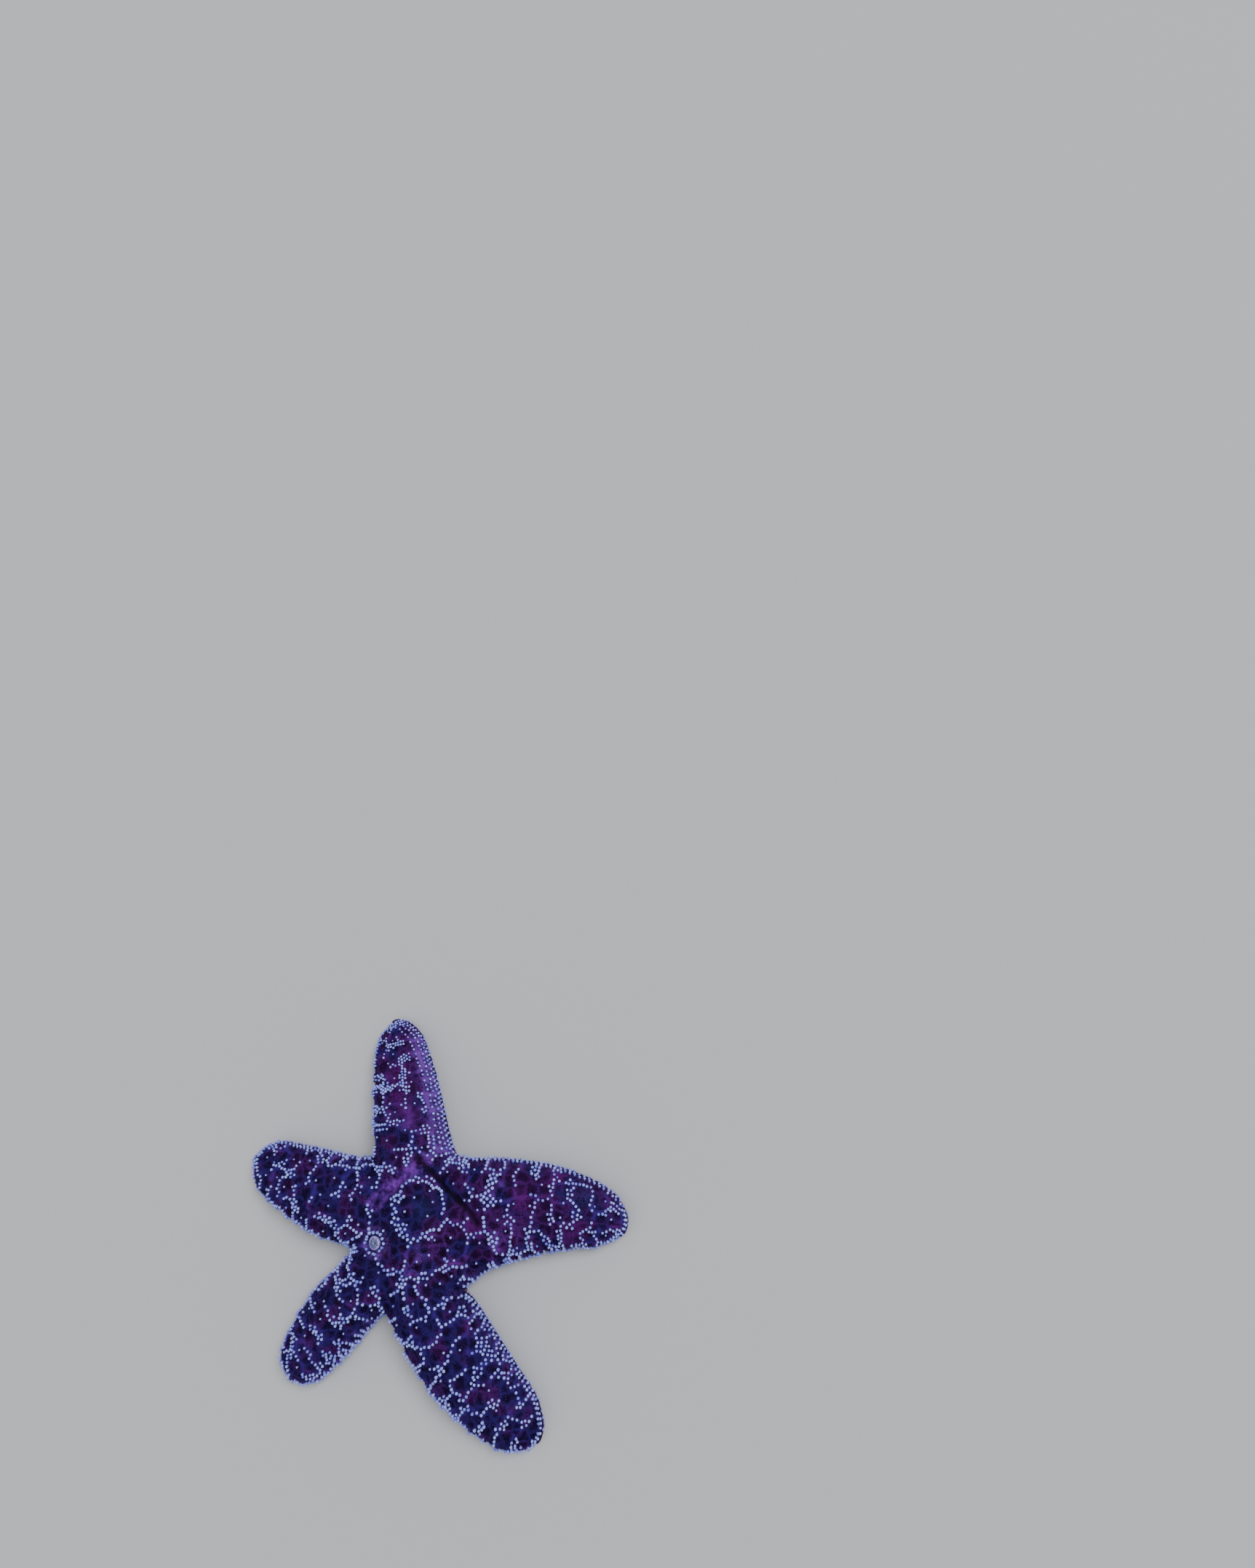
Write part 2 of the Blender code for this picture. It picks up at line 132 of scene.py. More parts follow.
class Arm:
    """The middle line of an arm and the sizes along it."""

    def __init__(self, name):
        sizes = ARMS[name]
        share = np.linspace(0, 1, LINE_STEPS + 1)[:, None]
        near, far = (np.array(handle) for handle in sizes["handles"])
        tip = np.array(sizes["tip"])
        self.line = 3 * share * (1 - share) ** 2 * near + 3 * share**2 * (1 - share) * far + share**3 * tip
        steps = np.linalg.norm(np.diff(self.line, axis=0), axis=1)
        self.distance = np.concatenate([[0], np.cumsum(steps)])
        self.length = self.distance[-1]
        self.end, self.late, self.swell, room = (sizes[name] for name in ("end", "late", "swell", "room"))
        self.notches = {}
        for (right_arm, left_arm), place in NOTCHES.items():
            if name == right_arm:
                self.notches[1] = on_plan(*place)
            if name == left_arm:
                self.notches[-1] = on_plan(*place)
        ahead = self.line[len(share) // 3]
        ahead = ahead / np.linalg.norm(ahead)
        self.notch_distance = sum(notch @ ahead for notch in self.notches.values()) / 2
        middle, left = self.place(self.notch_distance)
        self.root = sum((notch - middle) @ left * side for side, notch in self.notches.items()) / 2 - room

    def place(self, distance):
        """The point of the middle line at a distance from the centre, and the direction to its left there."""
        step = 0.001
        near = min(max(distance, step), self.length - step)
        point, behind, before = (
            np.array([np.interp(at, self.distance, self.line[:, i]) for i in (0, 1)])
            for at in (distance, near - step, near + step)
        )
        ahead = (before - behind) / np.linalg.norm(before - behind)
        return point, np.array((-ahead[1], ahead[0]))

    def rounding(self, distance):
        into = (distance - (self.length - TIP_ROUNDING)) / TIP_ROUNDING
        return math.sqrt(1 - min(max(into, 0), 1) ** 2)

    def half_width(self, distance):
        along = max(distance - self.notch_distance, 0) / (self.length - self.notch_distance)
        full = between((self.root, self.end), along**self.late) + self.swell * math.sin(math.pi * along)
        return full * self.rounding(distance)

    def back_height(self, distance):
        full = between((DISC_HEIGHT, TIP_HEIGHT), (distance / self.length) ** BACK_FALL)
        return between((EDGE_HEIGHT, full), self.rounding(distance))

    def margin(self, distance, side):
        """The widest point of one side, with the round web that joins it to the next arm's in the notch."""
        point, left = self.place(distance)
        at_notch, left_there = self.place(self.notch_distance)
        free = point + left * side * self.half_width(distance)
        web = self.notches[side] - (at_notch + left_there * side * self.half_width(self.notch_distance))
        past = distance - self.notch_distance
        fade = math.exp(-past / (np.linalg.norm(web) + WEB_REACH))
        fade *= 1 - past / (self.length - self.notch_distance)
        return free + web * fade


def row_end(arm, side, distance, share):
    """The end of a row across an arm. In the disc it lies on the line from the centre to the notch."""
    return arm.margin(distance, side) if share is None else arm.notches[side] * share


def back_row(arm, side, distance, share):
    """A fine row of points from the middle line over the back to the widest line of the body."""
    across = np.linspace(0, 1, BACK_STEPS + 1)
    turn = across * math.pi / 2
    middle, end = arm.place(distance)[0], row_end(arm, side, distance, share)
    end_height, blend = EDGE_HEIGHT, 0.0
    if share is not None:
        end_height = between((EDGE_HEIGHT, DISC_HEIGHT), (1 - share**BACK_FULLNESS) ** (1 / BACK_FULLNESS))
        blend = smooth_step((1 - share) / DOME_SHARE)
    out = between((np.sin(turn) ** (2 / BACK_FULLNESS), across), blend)
    arch = np.abs(np.cos(turn)) ** (2 / BACK_FULLNESS)
    lift = between((arch, (1 + np.cos(across * math.pi)) / 2), blend)
    height = between((end_height, arm.back_height(distance)), lift)
    return np.column_stack([middle + (end - middle) * out[:, None], height])


def sole_row(arm, side, distance, share):
    """A fine row from the widest line, round the tuck and along the sole to the middle of the foot furrow."""
    middle, end = arm.place(distance)[0], row_end(arm, side, distance, share)
    if share is None:
        end_height = EDGE_HEIGHT
        into_nose = min(max((distance - arm.length + NOSE_LENGTH) / NOSE_LENGTH, 0), 1)
        sole = EDGE_HEIGHT * (1 - math.sqrt(1 - into_nose**2))
    else:
        tucked = min(np.linalg.norm(arm.notches[side]) * (1 - share) / TUCK, 1)
        end_height = EDGE_HEIGHT * (1 - math.sqrt(1 - (1 - tucked) ** 2))
        sole = 0.0
    length = max(np.linalg.norm(end - middle), 1e-9)
    inset = min(TUCK, TUCK_SHARE * length)
    turn = np.linspace(0, math.pi / 2, TUCK_STEPS + 1)
    flat = np.linspace(length - inset, 0, SOLE_STEPS + 1)[1:]
    away = np.concatenate([length - inset * (1 - np.cos(turn)), flat])
    height = np.concatenate([between((end_height, sole), np.sin(turn)), np.full(SOLE_STEPS, sole)])
    plan = middle + (end - middle) * (away / length)[:, None]
    along = distance / arm.length
    half = min(furrow_half_width(along), length * FURROW_ROOM)
    furrow = between(FURROW_DEPTH, along) * (1 - smooth_step(away / half, *FURROW_WALL))
    recess = MOUTH_DEPTH * (1 - smooth_step(np.linalg.norm(plan, axis=1) / MOUTH_RADIUS, *MOUTH_WALL))
    return np.column_stack([plan, np.maximum(height, np.maximum(furrow, recess))])


# ------------------------------------------------------------------------------------------------------------
# Skin. It is tough, wet and plum-purple, one sheet over back and sole. Its lime plates raise a net of low
# ridges, and between them it sinks into soft dark pits. Every row of it runs from an arm's middle line out to
# the widest line of the body.

COAT_DEPTH = 0.0027        # from the tips of the spines on the back down to the skin
SOLE_COAT_DEPTH = 0.0009   # the same on the sole
COAT_FADE = 0.006          # stretch below the widest line in which the one turns into the other
SKIN_STEP = 0.00084        # between rows and between the points of a row on the back
SOLE_STEP = 0.0015         # between the points of a row on the sole
DISC_STEPS = 61            # from a notch to the centre
WELD = 1e-7                # points of neighbouring sides that are closer than this are one
EYE_CUSHION = 0.0028       # how far round an eyespot the skin is drawn to it, and how deep it holds it
EYE_GRIP = 0.0006
NOTCH_RADIUS = 0.005       # of the taut skin along the bottom of a notch
NOTCH_SHARE = 0.6          # share of the way out to the notch at which it starts
NOTCH_EDGE = 1.6           # in radii, where it has faded out
NOTCH_ROUNDS = 16

UNWRAP_SIZE = 0.44         # metres of skin along one side of the unwrap
UNWRAP_COLUMNS = 4
UNWRAP_CELL = (0.110, 0.1465)
UNWRAP_EDGE = 0.002

arms = {name: Arm(name) for name in ARMS}
dice = np.random.default_rng(11)


def evenly(row, step):
    """A row's points at even steps along it, with each point's distance along the row."""
    run = np.concatenate([[0], np.cumsum(np.linalg.norm(np.diff(row, axis=0), axis=1))])
    places = np.linspace(0, run[-1], max(round(run[-1] / step), 1) + 1)
    return np.column_stack([np.interp(places, run, row[:, i]) for i in range(3)]), places


def stitched(first, second, skipped):
    """Triangles between two rows of point numbers, which may hold different numbers of points. Where a row
    between them was skipped, its first point is taken into the first triangle's side."""
    made, i, j = [], 0, 0
    n, m = len(first) - 1, len(second) - 1
    while i < n or j < m:
        if j == m or (i < n and (i + 1) * m <= (j + 1) * n):
            made.append((first[i], first[i + 1], second[j]))
            i += 1
        else:
            made.append((first[i], second[j + 1], second[j]))
            j += 1
    if skipped is not None:
        start, across, end = made.pop(0)
        made += [(start, across, skipped), (skipped, across, end)]
    return made


def rows_of(arm):
    """Each row's distance from the centre, from the tip in, and its share of the way to the notch or None."""
    turns = np.arange(0, math.pi / 2, SKIN_STEP / TIP_ROUNDING)
    rows = [(arm.length - TIP_ROUNDING * (1 - math.cos(turn)), None) for turn in turns]
    start = arm.length - TIP_ROUNDING
    count = round((start - arm.notch_distance) / SKIN_STEP)
    rows += [(between((start, arm.notch_distance), i / count), None) for i in range(count + 1)]
    return rows + [(arm.notch_distance * share, share) for share in np.linspace(1, 0, DISC_STEPS + 1)[1:]]


class Sheet:
    """The skin as it is laid: points, where each lies on the unwrap, and what is known of its place."""

    def __init__(self):
        self.points, self.unwrap, self.facts, self.faces = [], [], [], []

    def lay(self, number, side, back):
        """One side of an arm's back or sole, from the tip in to the middle of the disc."""
        arm = list(arms.values())[number]
        line, column = divmod(number if back else number + len(arms), UNWRAP_COLUMNS)
        make, step = (back_row, SKIN_STEP) if back else (sole_row, SOLE_STEP)
        rows = rows_of(arm)
        run, last, before, skipped = 0.0, None, None, None
        for k, (distance, share) in enumerate(rows):
            made, places = evenly(make(arm, side, distance, share), step)
            girth = max(places[-1], 1e-6)
            out = places if back else girth - places
            middle = made[0] if back else made[-1]
            run += 0 if last is None else np.linalg.norm(middle - last)
            last = middle
            skip = not back and k % 2 == 1 and k < len(rows) - 1
            if skip:
                made, out = made[:1], out[:1]
            ids = list(range(len(self.points), len(self.points) + len(made)))
            self.points.extend(made)
            self.facts.extend((number, side, distance, across, girth, back) for across in out)
            foot = (column + 0.5) * UNWRAP_CELL[0], (line + 1) * UNWRAP_CELL[1] - UNWRAP_EDGE
            self.unwrap.extend((foot[0] + side * across, foot[1] - run) for across in out)
            if skip:
                skipped = ids[0]
                continue
            if before is not None:
                faces = stitched(before, ids, skipped)
                self.faces.extend(faces if side == 1 else [face[::-1] for face in faces])
            before, skipped = ids, None


def edges_of(faces):
    return np.concatenate([faces[:, (0, 1)], faces[:, (1, 2)], faces[:, (2, 0)]])


def smoothed_normals(points, faces, rounds):
    """Outward directions at the points, evened out over their neighbours."""
    a, b, c = (points[faces[:, i]] for i in range(3))
    normals = np.zeros_like(points)
    for i in range(3):
        np.add.at(normals, faces[:, i], np.cross(b - a, c - a))
    start, end = edges_of(faces).T
    for _ in range(rounds):
        normals /= np.maximum(np.linalg.norm(normals, axis=1, keepdims=True), 1e-12)
        spread = normals.copy()
        np.add.at(spread, start, normals[end])
        normals = spread
    return normals / np.maximum(np.linalg.norm(normals, axis=1, keepdims=True), 1e-12)


def noise_at(places, size, seed):
    """Smooth noise between about -1 and 1, with lumps of a given size in metres."""
    shift = Vector((seed * 3.7, seed * 1.9, seed * 5.3))
    return np.array([noise.noise(Vector(place) / size + shift) for place in places])


def uneven(places, mean, *lumps):
    """Values that vary round a mean, by lumps that each have a size in metres, a strength and a seed."""
    for size, strength, seed in lumps:
        mean = mean + strength * noise_at(places, size, seed)
    return mean


def from_line(plan, line):
    """Each plan point's distance from a line of several points."""
    line = np.array(line)
    nearest = np.full(len(plan), np.inf)
    for start, end in zip(line, line[1:]):
        along = end - start
        share = np.clip((plan - start) @ along / (along @ along), 0, 1)
        nearest = np.minimum(nearest, np.linalg.norm(plan - start - share[:, None] * along, axis=1))
    return nearest


sheet = Sheet()
for number in range(len(arms)):
    for side in (1, -1):
        for back in (True, False):
            sheet.lay(number, side, back)

# Neighbouring sides meet in the same points, which are made one
laid = np.array(sheet.points)
cells = np.round(laid / WELD).astype(int)
_, first, merged = np.unique(cells, axis=0, return_index=True, return_inverse=True)
corners = np.array(sheet.faces)
faces = merged.reshape(-1)[corners]
whole = (faces[:, 0] != faces[:, 1]) & (faces[:, 1] != faces[:, 2]) & (faces[:, 2] != faces[:, 0])
faces, corners = faces[whole], corners[whole]
points = laid[first]
unwrap = np.array(sheet.unwrap) / UNWRAP_SIZE
root_at = np.column_stack([unwrap[first], np.zeros(len(points))])

# What is known of each point
arm_number, arm_side, arm_distance, out, girth, on_back = np.array(sheet.facts)[first].T
arm_number = arm_number.astype(int)
on_back = on_back == 1
lengths = np.array([arm.length for arm in arms.values()])[arm_number]
in_disc = arm_distance < np.array([arm.notch_distance for arm in arms.values()])[arm_number] - 1e-6
down = np.where(on_back, out / girth, 1)
from_edge = np.where(in_disc, np.inf, girth - out)
from_tip = lengths - arm_distance

# It lies a coat's depth inside the tips of the spines, but reaches down to the eyespots at the furrows' ends
outward = smoothed_normals(points, faces, 5)
coat = between((COAT_DEPTH, SOLE_COAT_DEPTH), np.where(on_back, 0, smooth_step(from_edge / COAT_FADE)))
for number in range(len(arms)):
    eye = np.array(sum(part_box(f"eyespot_{number + 1}"), Vector()) / 2)
    near_eye = np.exp(-((np.linalg.norm(points - eye, axis=1) / EYE_CUSHION) ** 2))
    coat -= (coat + EYE_GRIP) * near_eye * ~on_back
skin = points - outward * coat[:, None]

# and is drawn taut over the bottom of each notch between two arms
start, end = edges_of(faces).T
neighbours = np.maximum(np.bincount(start, minlength=len(skin)), 1)[:, None]
taut = np.zeros(len(skin))
for bearing, distance in NOTCHES.values():
    far = from_line(skin[:, :2], (on_plan(bearing, distance * NOTCH_SHARE), on_plan(bearing, distance)))
    taut = np.maximum(taut, smooth_step(NOTCH_EDGE - far / NOTCH_RADIUS))
taut = (taut * on_back)[:, None]
for _ in range(NOTCH_ROUNDS):
    mean = np.zeros_like(skin)
    np.add.at(mean, start, skin[end])
    skin += taut * (mean / neighbours - skin)
plan = skin[:, :2]

# The net has a pit in the middle of the disc, a ring of pits round it, and rows of them along each arm. A
# ridge runs wherever two pits are equally near, and a few are missing, so that some pits run together.
MIDDLE_PIT = (0.002, 0.010)
MIDDLE_RADIUS = 0.0148     # of the ridge round the middle pit
RING_COUNT = 8             # pits of the ring, with the radius and the bearing of the first
RING_RADIUS = 0.0248
RING_START = 8
PIT_ROWS = ((0.0, 0.0135), (0.42, 0.0120), (0.78, 0.0100))   # share of the way down the side, and pitch
PITS_START = (0.9, 1.4)    # in pitches, how far past the ring a row may start
PITS_END = 0.006           # from the tip
PIT_JITTER = 0.18          # in pitches
PIT_ROOM = 0.62            # in pitches, how near to each other two pits may come
TIP_SCALE = 0.7            # size of the net and its spines at the tips
SIDE_GIRTH = 0.04          # about the way from the middle line over the back to the widest line
MISSING_ACROSS = 0.1       # share of the ridges missing between pits of a row, which run across an arm
MISSING_ALONG = 0.5        # and between pits side by side
WEAKEST = 0.75             # height of the lowest ridge, as a share of the highest
RIDGE_HALF_WIDTH = 0.0017
RIDGE_HEIGHT = 0.0005
PIT_DEPTH = 0.0006
PIT_HALF_WIDTH = 0.0032
WANDERS = ((0.010, 0.0024, 1), (0.0052, 0.0012, 21))   # the ridges' bends: size, how far and first seed
LUMPS = ((0.0032, 0.00022, 5), (0.015, 0.0004, 6))     # the skin's own lumps: size, height and seed
SOLE_LUMPS = 0.3           # height of the lumps on the sole, as a share

# Marks of this one animal, as places in plan: a crease between two arms, painted black in its bottom as
# painted shade, and patches of colour, of which the pink band is painted paler as a painted sheen over its
# own pink
CREASE = (
    (-0.0013, 0.0377), (0.0064, 0.0299), (0.0137, 0.0232),
    (0.0221, 0.0169), (0.0304, 0.0108), (0.0358, 0.0035),
)
CREASE_SLIT = (0.0022, 0.0013)      # half width and depth
CREASE_VALLEY = (0.0052, 0.0011)
# The pink band is smooth skin with few spines; its pale pink is partly its own colour and partly a painted
# sheen
PINK_SHEEN_BAND = ((0.002, 0.035), (-0.012, 0.027), (-0.026, 0.014))
PINK_BAND_HALF_WIDTH = 0.0058
PINK_SPOTS = ((0.045, 0.022), (-0.010, 0.058), (0.004, -0.012), (0.046, -0.006))
WINE_SPOTS = (
    (0.061, 0.014), (0.079, 0.029), (-0.019, 0.083), (-0.015, 0.070), (0.088, -0.001), (0.034, 0.002),
)
BLUE_SPOTS = ((0.095, 0.017), (0.004, 0.010), (-0.021, -0.006))
DEEP_PITS = ((0.014, -0.007), (-0.002, -0.020), (0.022, -0.020), (0.055, -0.002))
SPOT_RADIUS = 0.0066
BAND_LUMPS = ((0.0045, 0.9, 4), (0.0019, 0.6, 15))   # size, strength and seed of what breaks up a patch
PINK_LUMPS = (0.005, 0.9, 12)
WINE_LUMPS = (0.004, 0.9, 14)
# The next four paint the steep sides paler, partly in their own lilac and partly as a painted sheen, and the
# side that leans to the light palest, as a painted highlight
WALL_TONES = (0.45, 0.8)            # how pale a steep side is, and the ring round the sieve plate
WALL_STEEPNESS = (0.25, 0.5)        # upward part of the skin's direction: pale up to this, and fading range
SIDE_DOWN = (0.38, 0.3)             # share of the way down where the palest side starts, and its range
SIDE_TIP = (0.35, 0.02)             # how pale that side is at the very tip, and the stretch in which it fades
SIEVE_HALO = (0.0072, 0.0022)       # radius and half width
WARM_SIDE = (-0.01, 0.05)           # where the warmer half starts, towards the two upper arms, and its range
SOLE_COLOUR = (0.003, 0.004)        # from the widest line to where the sole's colour starts, and its range


def spots(places):
    """1 in the middle of each spot, fading to 0 at about twice its radius."""
    far = np.linalg.norm(plan[:, None] - np.array(places), axis=2)
    return np.clip(np.exp(-((far / SPOT_RADIUS) ** 2)).sum(1), 0, 1) * on_back


def skin_near(place):
    """The point of the back's skin over a place in plan."""
    return int(np.argmin(np.linalg.norm(plan - place, axis=1) + ~on_back))


def skin_along(number, side, distance, share):
    """The point of the back's skin nearest to a distance along an arm and a share of the way down."""
    elsewhere = (arm_number != number) | ~on_back | ((arm_side != side) & (share > 0))
    return int(np.argmin((arm_distance - distance) ** 2 + ((down - share) * girth) ** 2 + elsewhere))


def size_along(distance, length):
    """The net and its spines get smaller towards the tips."""
    return between((1, TIP_SCALE), (distance / length) ** 1.5)


pits = [skin_near(MIDDLE_PIT)]
for i in range(RING_COUNT):
    pits.append(skin_near(MIDDLE_PIT + on_plan(360 * i / RING_COUNT + RING_START, RING_RADIUS)))
for number, arm in enumerate(arms.values()):
    for share, pitch in PIT_ROWS:
        for side in (1, -1) if share else (1,):
            distance = RING_RADIUS + pitch * dice.uniform(*PITS_START)
            while distance < arm.length - PITS_END:
                step = pitch * size_along(distance, arm.length)
                shift = dice.uniform(-PIT_JITTER, PIT_JITTER, 2) * step
                place = skin_along(number, side, distance + shift[0], share + shift[1] / SIDE_GIRTH)
                if min(np.linalg.norm(skin[place] - skin[pit]) for pit in pits) > PIT_ROOM * step:
                    pits.append(place)
                distance += step

scale = size_along(arm_distance, lengths)
middles = skin[pits]
pit_gaps = np.linalg.norm(middles[:, None] - middles, axis=2)
pit_steps = np.abs(arm_distance[pits][:, None] - arm_distance[pits])
missing = np.where(pit_steps < 0.5 * pit_gaps, MISSING_ALONG, MISSING_ACROSS)
missing[0], missing[:, 0] = MISSING_ACROSS, MISSING_ACROSS
strength = np.triu(dice.random((len(pits), len(pits))))
strength += np.triu(strength, 1).T
strength = np.where(strength < missing, 0, between((WEAKEST, 1), strength))
wander = sum(
    np.column_stack([noise_at(skin, size, seed + turn) for turn in range(3)]) * far
    for size, far, seed in WANDERS
)
apart = np.linalg.norm((skin + wander)[:, None] - middles, axis=2)
# The middle pit has a head start, which draws the ridge round it out to a radius of its own
head_start = np.sqrt(RING_RADIUS * (2 * MIDDLE_RADIUS - RING_RADIUS))
apart[:, 0] = np.sqrt(np.maximum(apart[:, 0] ** 2 - head_start**2, 0))
nearest = np.argsort(apart, axis=1)[:, :3]
away = np.take_along_axis(apart, nearest, axis=1)
ridge = np.zeros(len(skin))
from_ridge = np.full(len(skin), np.inf)
for other in (1, 2):
    a, b = nearest[:, 0], nearest[:, other]
    far = (away[:, other] ** 2 - away[:, 0] ** 2) / (2 * pit_gaps[a, b])
    from_ridge = np.where(strength[a, b] > 0, np.minimum(far, from_ridge), from_ridge)
    ridge = np.maximum(ridge, strength[a, b] * np.exp(-((far / (RIDGE_HALF_WIDTH * scale)) ** 2)))

slit, valley = (
    np.exp(-((from_line(plan, CREASE) / width) ** 2)) * on_back for width, _ in (CREASE_SLIT, CREASE_VALLEY)
)
# The pink band and spots: the band's pale pink is partly a painted sheen
pink_sheen_band = np.exp(-((from_line(plan, PINK_SHEEN_BAND) / PINK_BAND_HALF_WIDTH) ** 2)) * on_back
pink_and_sheen = pink_sheen_band * uneven(skin, 0.6, *BAND_LUMPS) + spots(PINK_SPOTS) * uneven(skin, 0.5, PINK_LUMPS)
pink_and_sheen = np.clip(pink_and_sheen, 0, 1)
wine = np.clip(spots(WINE_SPOTS) * uneven(skin, 0.9, WINE_LUMPS), 0, 1)
deep = spots(DEEP_PITS)
net = ridge * on_back * (1 - 0.6 * pink_sheen_band)
sunk = (1 - np.exp(-((from_ridge / (PIT_HALF_WIDTH * scale)) ** 2))) * on_back
relief = RIDGE_HEIGHT * net - PIT_DEPTH * sunk * (1 + deep) * (1 - pink_sheen_band)
lumpy = uneven(skin, 0, *LUMPS) * np.where(on_back, 1, SOLE_LUMPS)
relief += lumpy - CREASE_SLIT[1] * slit - CREASE_VALLEY[1] * valley
skin = skin + outward * relief[:, None]
skin_normals = smoothed_normals(skin, faces, 2)

# The steep sides are painted paler, partly in their own lilac and partly as a painted sheen, and palest is
# the side of the first arm that leans to the light, a painted highlight. The skin is nearly as pale in a ring
# round the sieve plate.
sieve_centre = np.array(sum(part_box("madreporite"), Vector()) / 2)[:2]
from_sieve = np.linalg.norm(plan - sieve_centre, axis=1)
facing = (arm_number == 0) & (arm_side == -1)
wall = WALL_TONES[0] * (1 - smooth_step(outward[:, 2], *WALL_STEEPNESS))
side_wall = smooth_step(down, *SIDE_DOWN) * between((SIDE_TIP[0], 1), smooth_step(from_tip, 0, SIDE_TIP[1]))
wall = np.where(facing & ~in_disc, np.maximum(wall, side_wall), wall)
halo = np.exp(-(((from_sieve - SIEVE_HALO[0]) / SIEVE_HALO[1]) ** 2))
marks = {
    "ridge": net,
    # painted sheen on the steep sides, partly their own lilac, with the pale ring round the sieve plate
    "wall": np.maximum(wall, WALL_TONES[1] * halo) * on_back,
    "pink_and_sheen": pink_and_sheen,
    "wine": wine,
    "warm": smooth_step(plan @ (0.7, 0.7), *WARM_SIDE) * on_back,
    "blue": spots(BLUE_SPOTS),
    "deep": deep,
    "below": np.where(on_back, 0, smooth_step(from_edge, *SOLE_COLOUR)),
    # painted shade along the bottom of the crease
    "crease_shade": slit,
}

PITS = ("#0D062C", "#260334")       # in the cooler and in the warmer clouds, as are the next two
CRESTS = ("#2C1562", "#420D5A")     # of the ridges
RIMS = ("#3C2884", "#5C2080")       # of the small pits
DEEP_PIT = "#100217"
DEEP_CREST = "#62207C"
# painted sheen: the pale lilac of the steep sides, partly their own colour
SHEEN_LILAC = "#6F409F"
SPOT_BLUE = "#22265E"
# the paler pink is partly a painted sheen on the pink band
SHEEN_PINKS = ("#4A1A78", "#8844BE")
WINE = "#520A62"
# painted shade in the bottom of the crease
CREASE_SHADE = "#0B0612"
SOLE_MAUVES = ("#6B4A6E", "#A88A92")
CLOUD = 0.011              # metres from one cloud of the skin's colour to the next
FLECK = 0.0032             # the same of the flecks that break up the ridges and the patches
SMALL_PIT = 0.0066         # the same of the small pits between the ridges, each with a rim
SMALL_PIT_BENDS = (0.006, 0.0028)   # what makes the small pits uneven: size of the bends and how far
RIM_HEIGHT = 0.0006
HIDE_BEAD = 0.00085        # from one bead of the skin's grain to the next
HIDE_SOFTNESS = 0.0021     # size of the lumps in it
HIDE_HEIGHT = 0.0003


def linear(code):
    """A colour written as on screen, turned into the linear values that a material takes."""
    parts = [int(code[i : i + 2], 16) / 255 for i in (1, 3, 5)]
    return *(part / 12.92 if part <= 0.04045 else ((part + 0.055) / 1.055) ** 2.4 for part in parts), 1.0


def feed(tree, node, inputs):
    """Gives a node's inputs, by name or number, their values, colours as on screen, or nodes to come from."""
    for name, value in inputs.items():
        if isinstance(name, int):
            socket = node.inputs[name]
        else:
            socket = next(each for each in node.inputs if each.name == name and each.enabled)
        if isinstance(value, bpy.types.Node):
            value = next(each for each in value.outputs if each.enabled)
        if isinstance(value, bpy.types.NodeSocket):
            tree.links.new(value, socket)
        else:
            socket.default_value = linear(value) if str(value).startswith("#") else value


def add(tree, kind, inputs=None, **settings):
    """A new node of a tree with its settings, and with its inputs fed."""
    node = tree.nodes.new(kind)
    for name, value in settings.items():
        setattr(node, name, value)
    feed(tree, node, inputs or {})
    return node


def new_material(name, values):
    """A material of its own with the values of its surface, its node tree and the surface's node."""
    made = bpy.data.materials.new(name)
    made.use_nodes = True
    surface = made.node_tree.nodes["Principled BSDF"]
    feed(made.node_tree, surface, values)
    return made, made.node_tree, surface


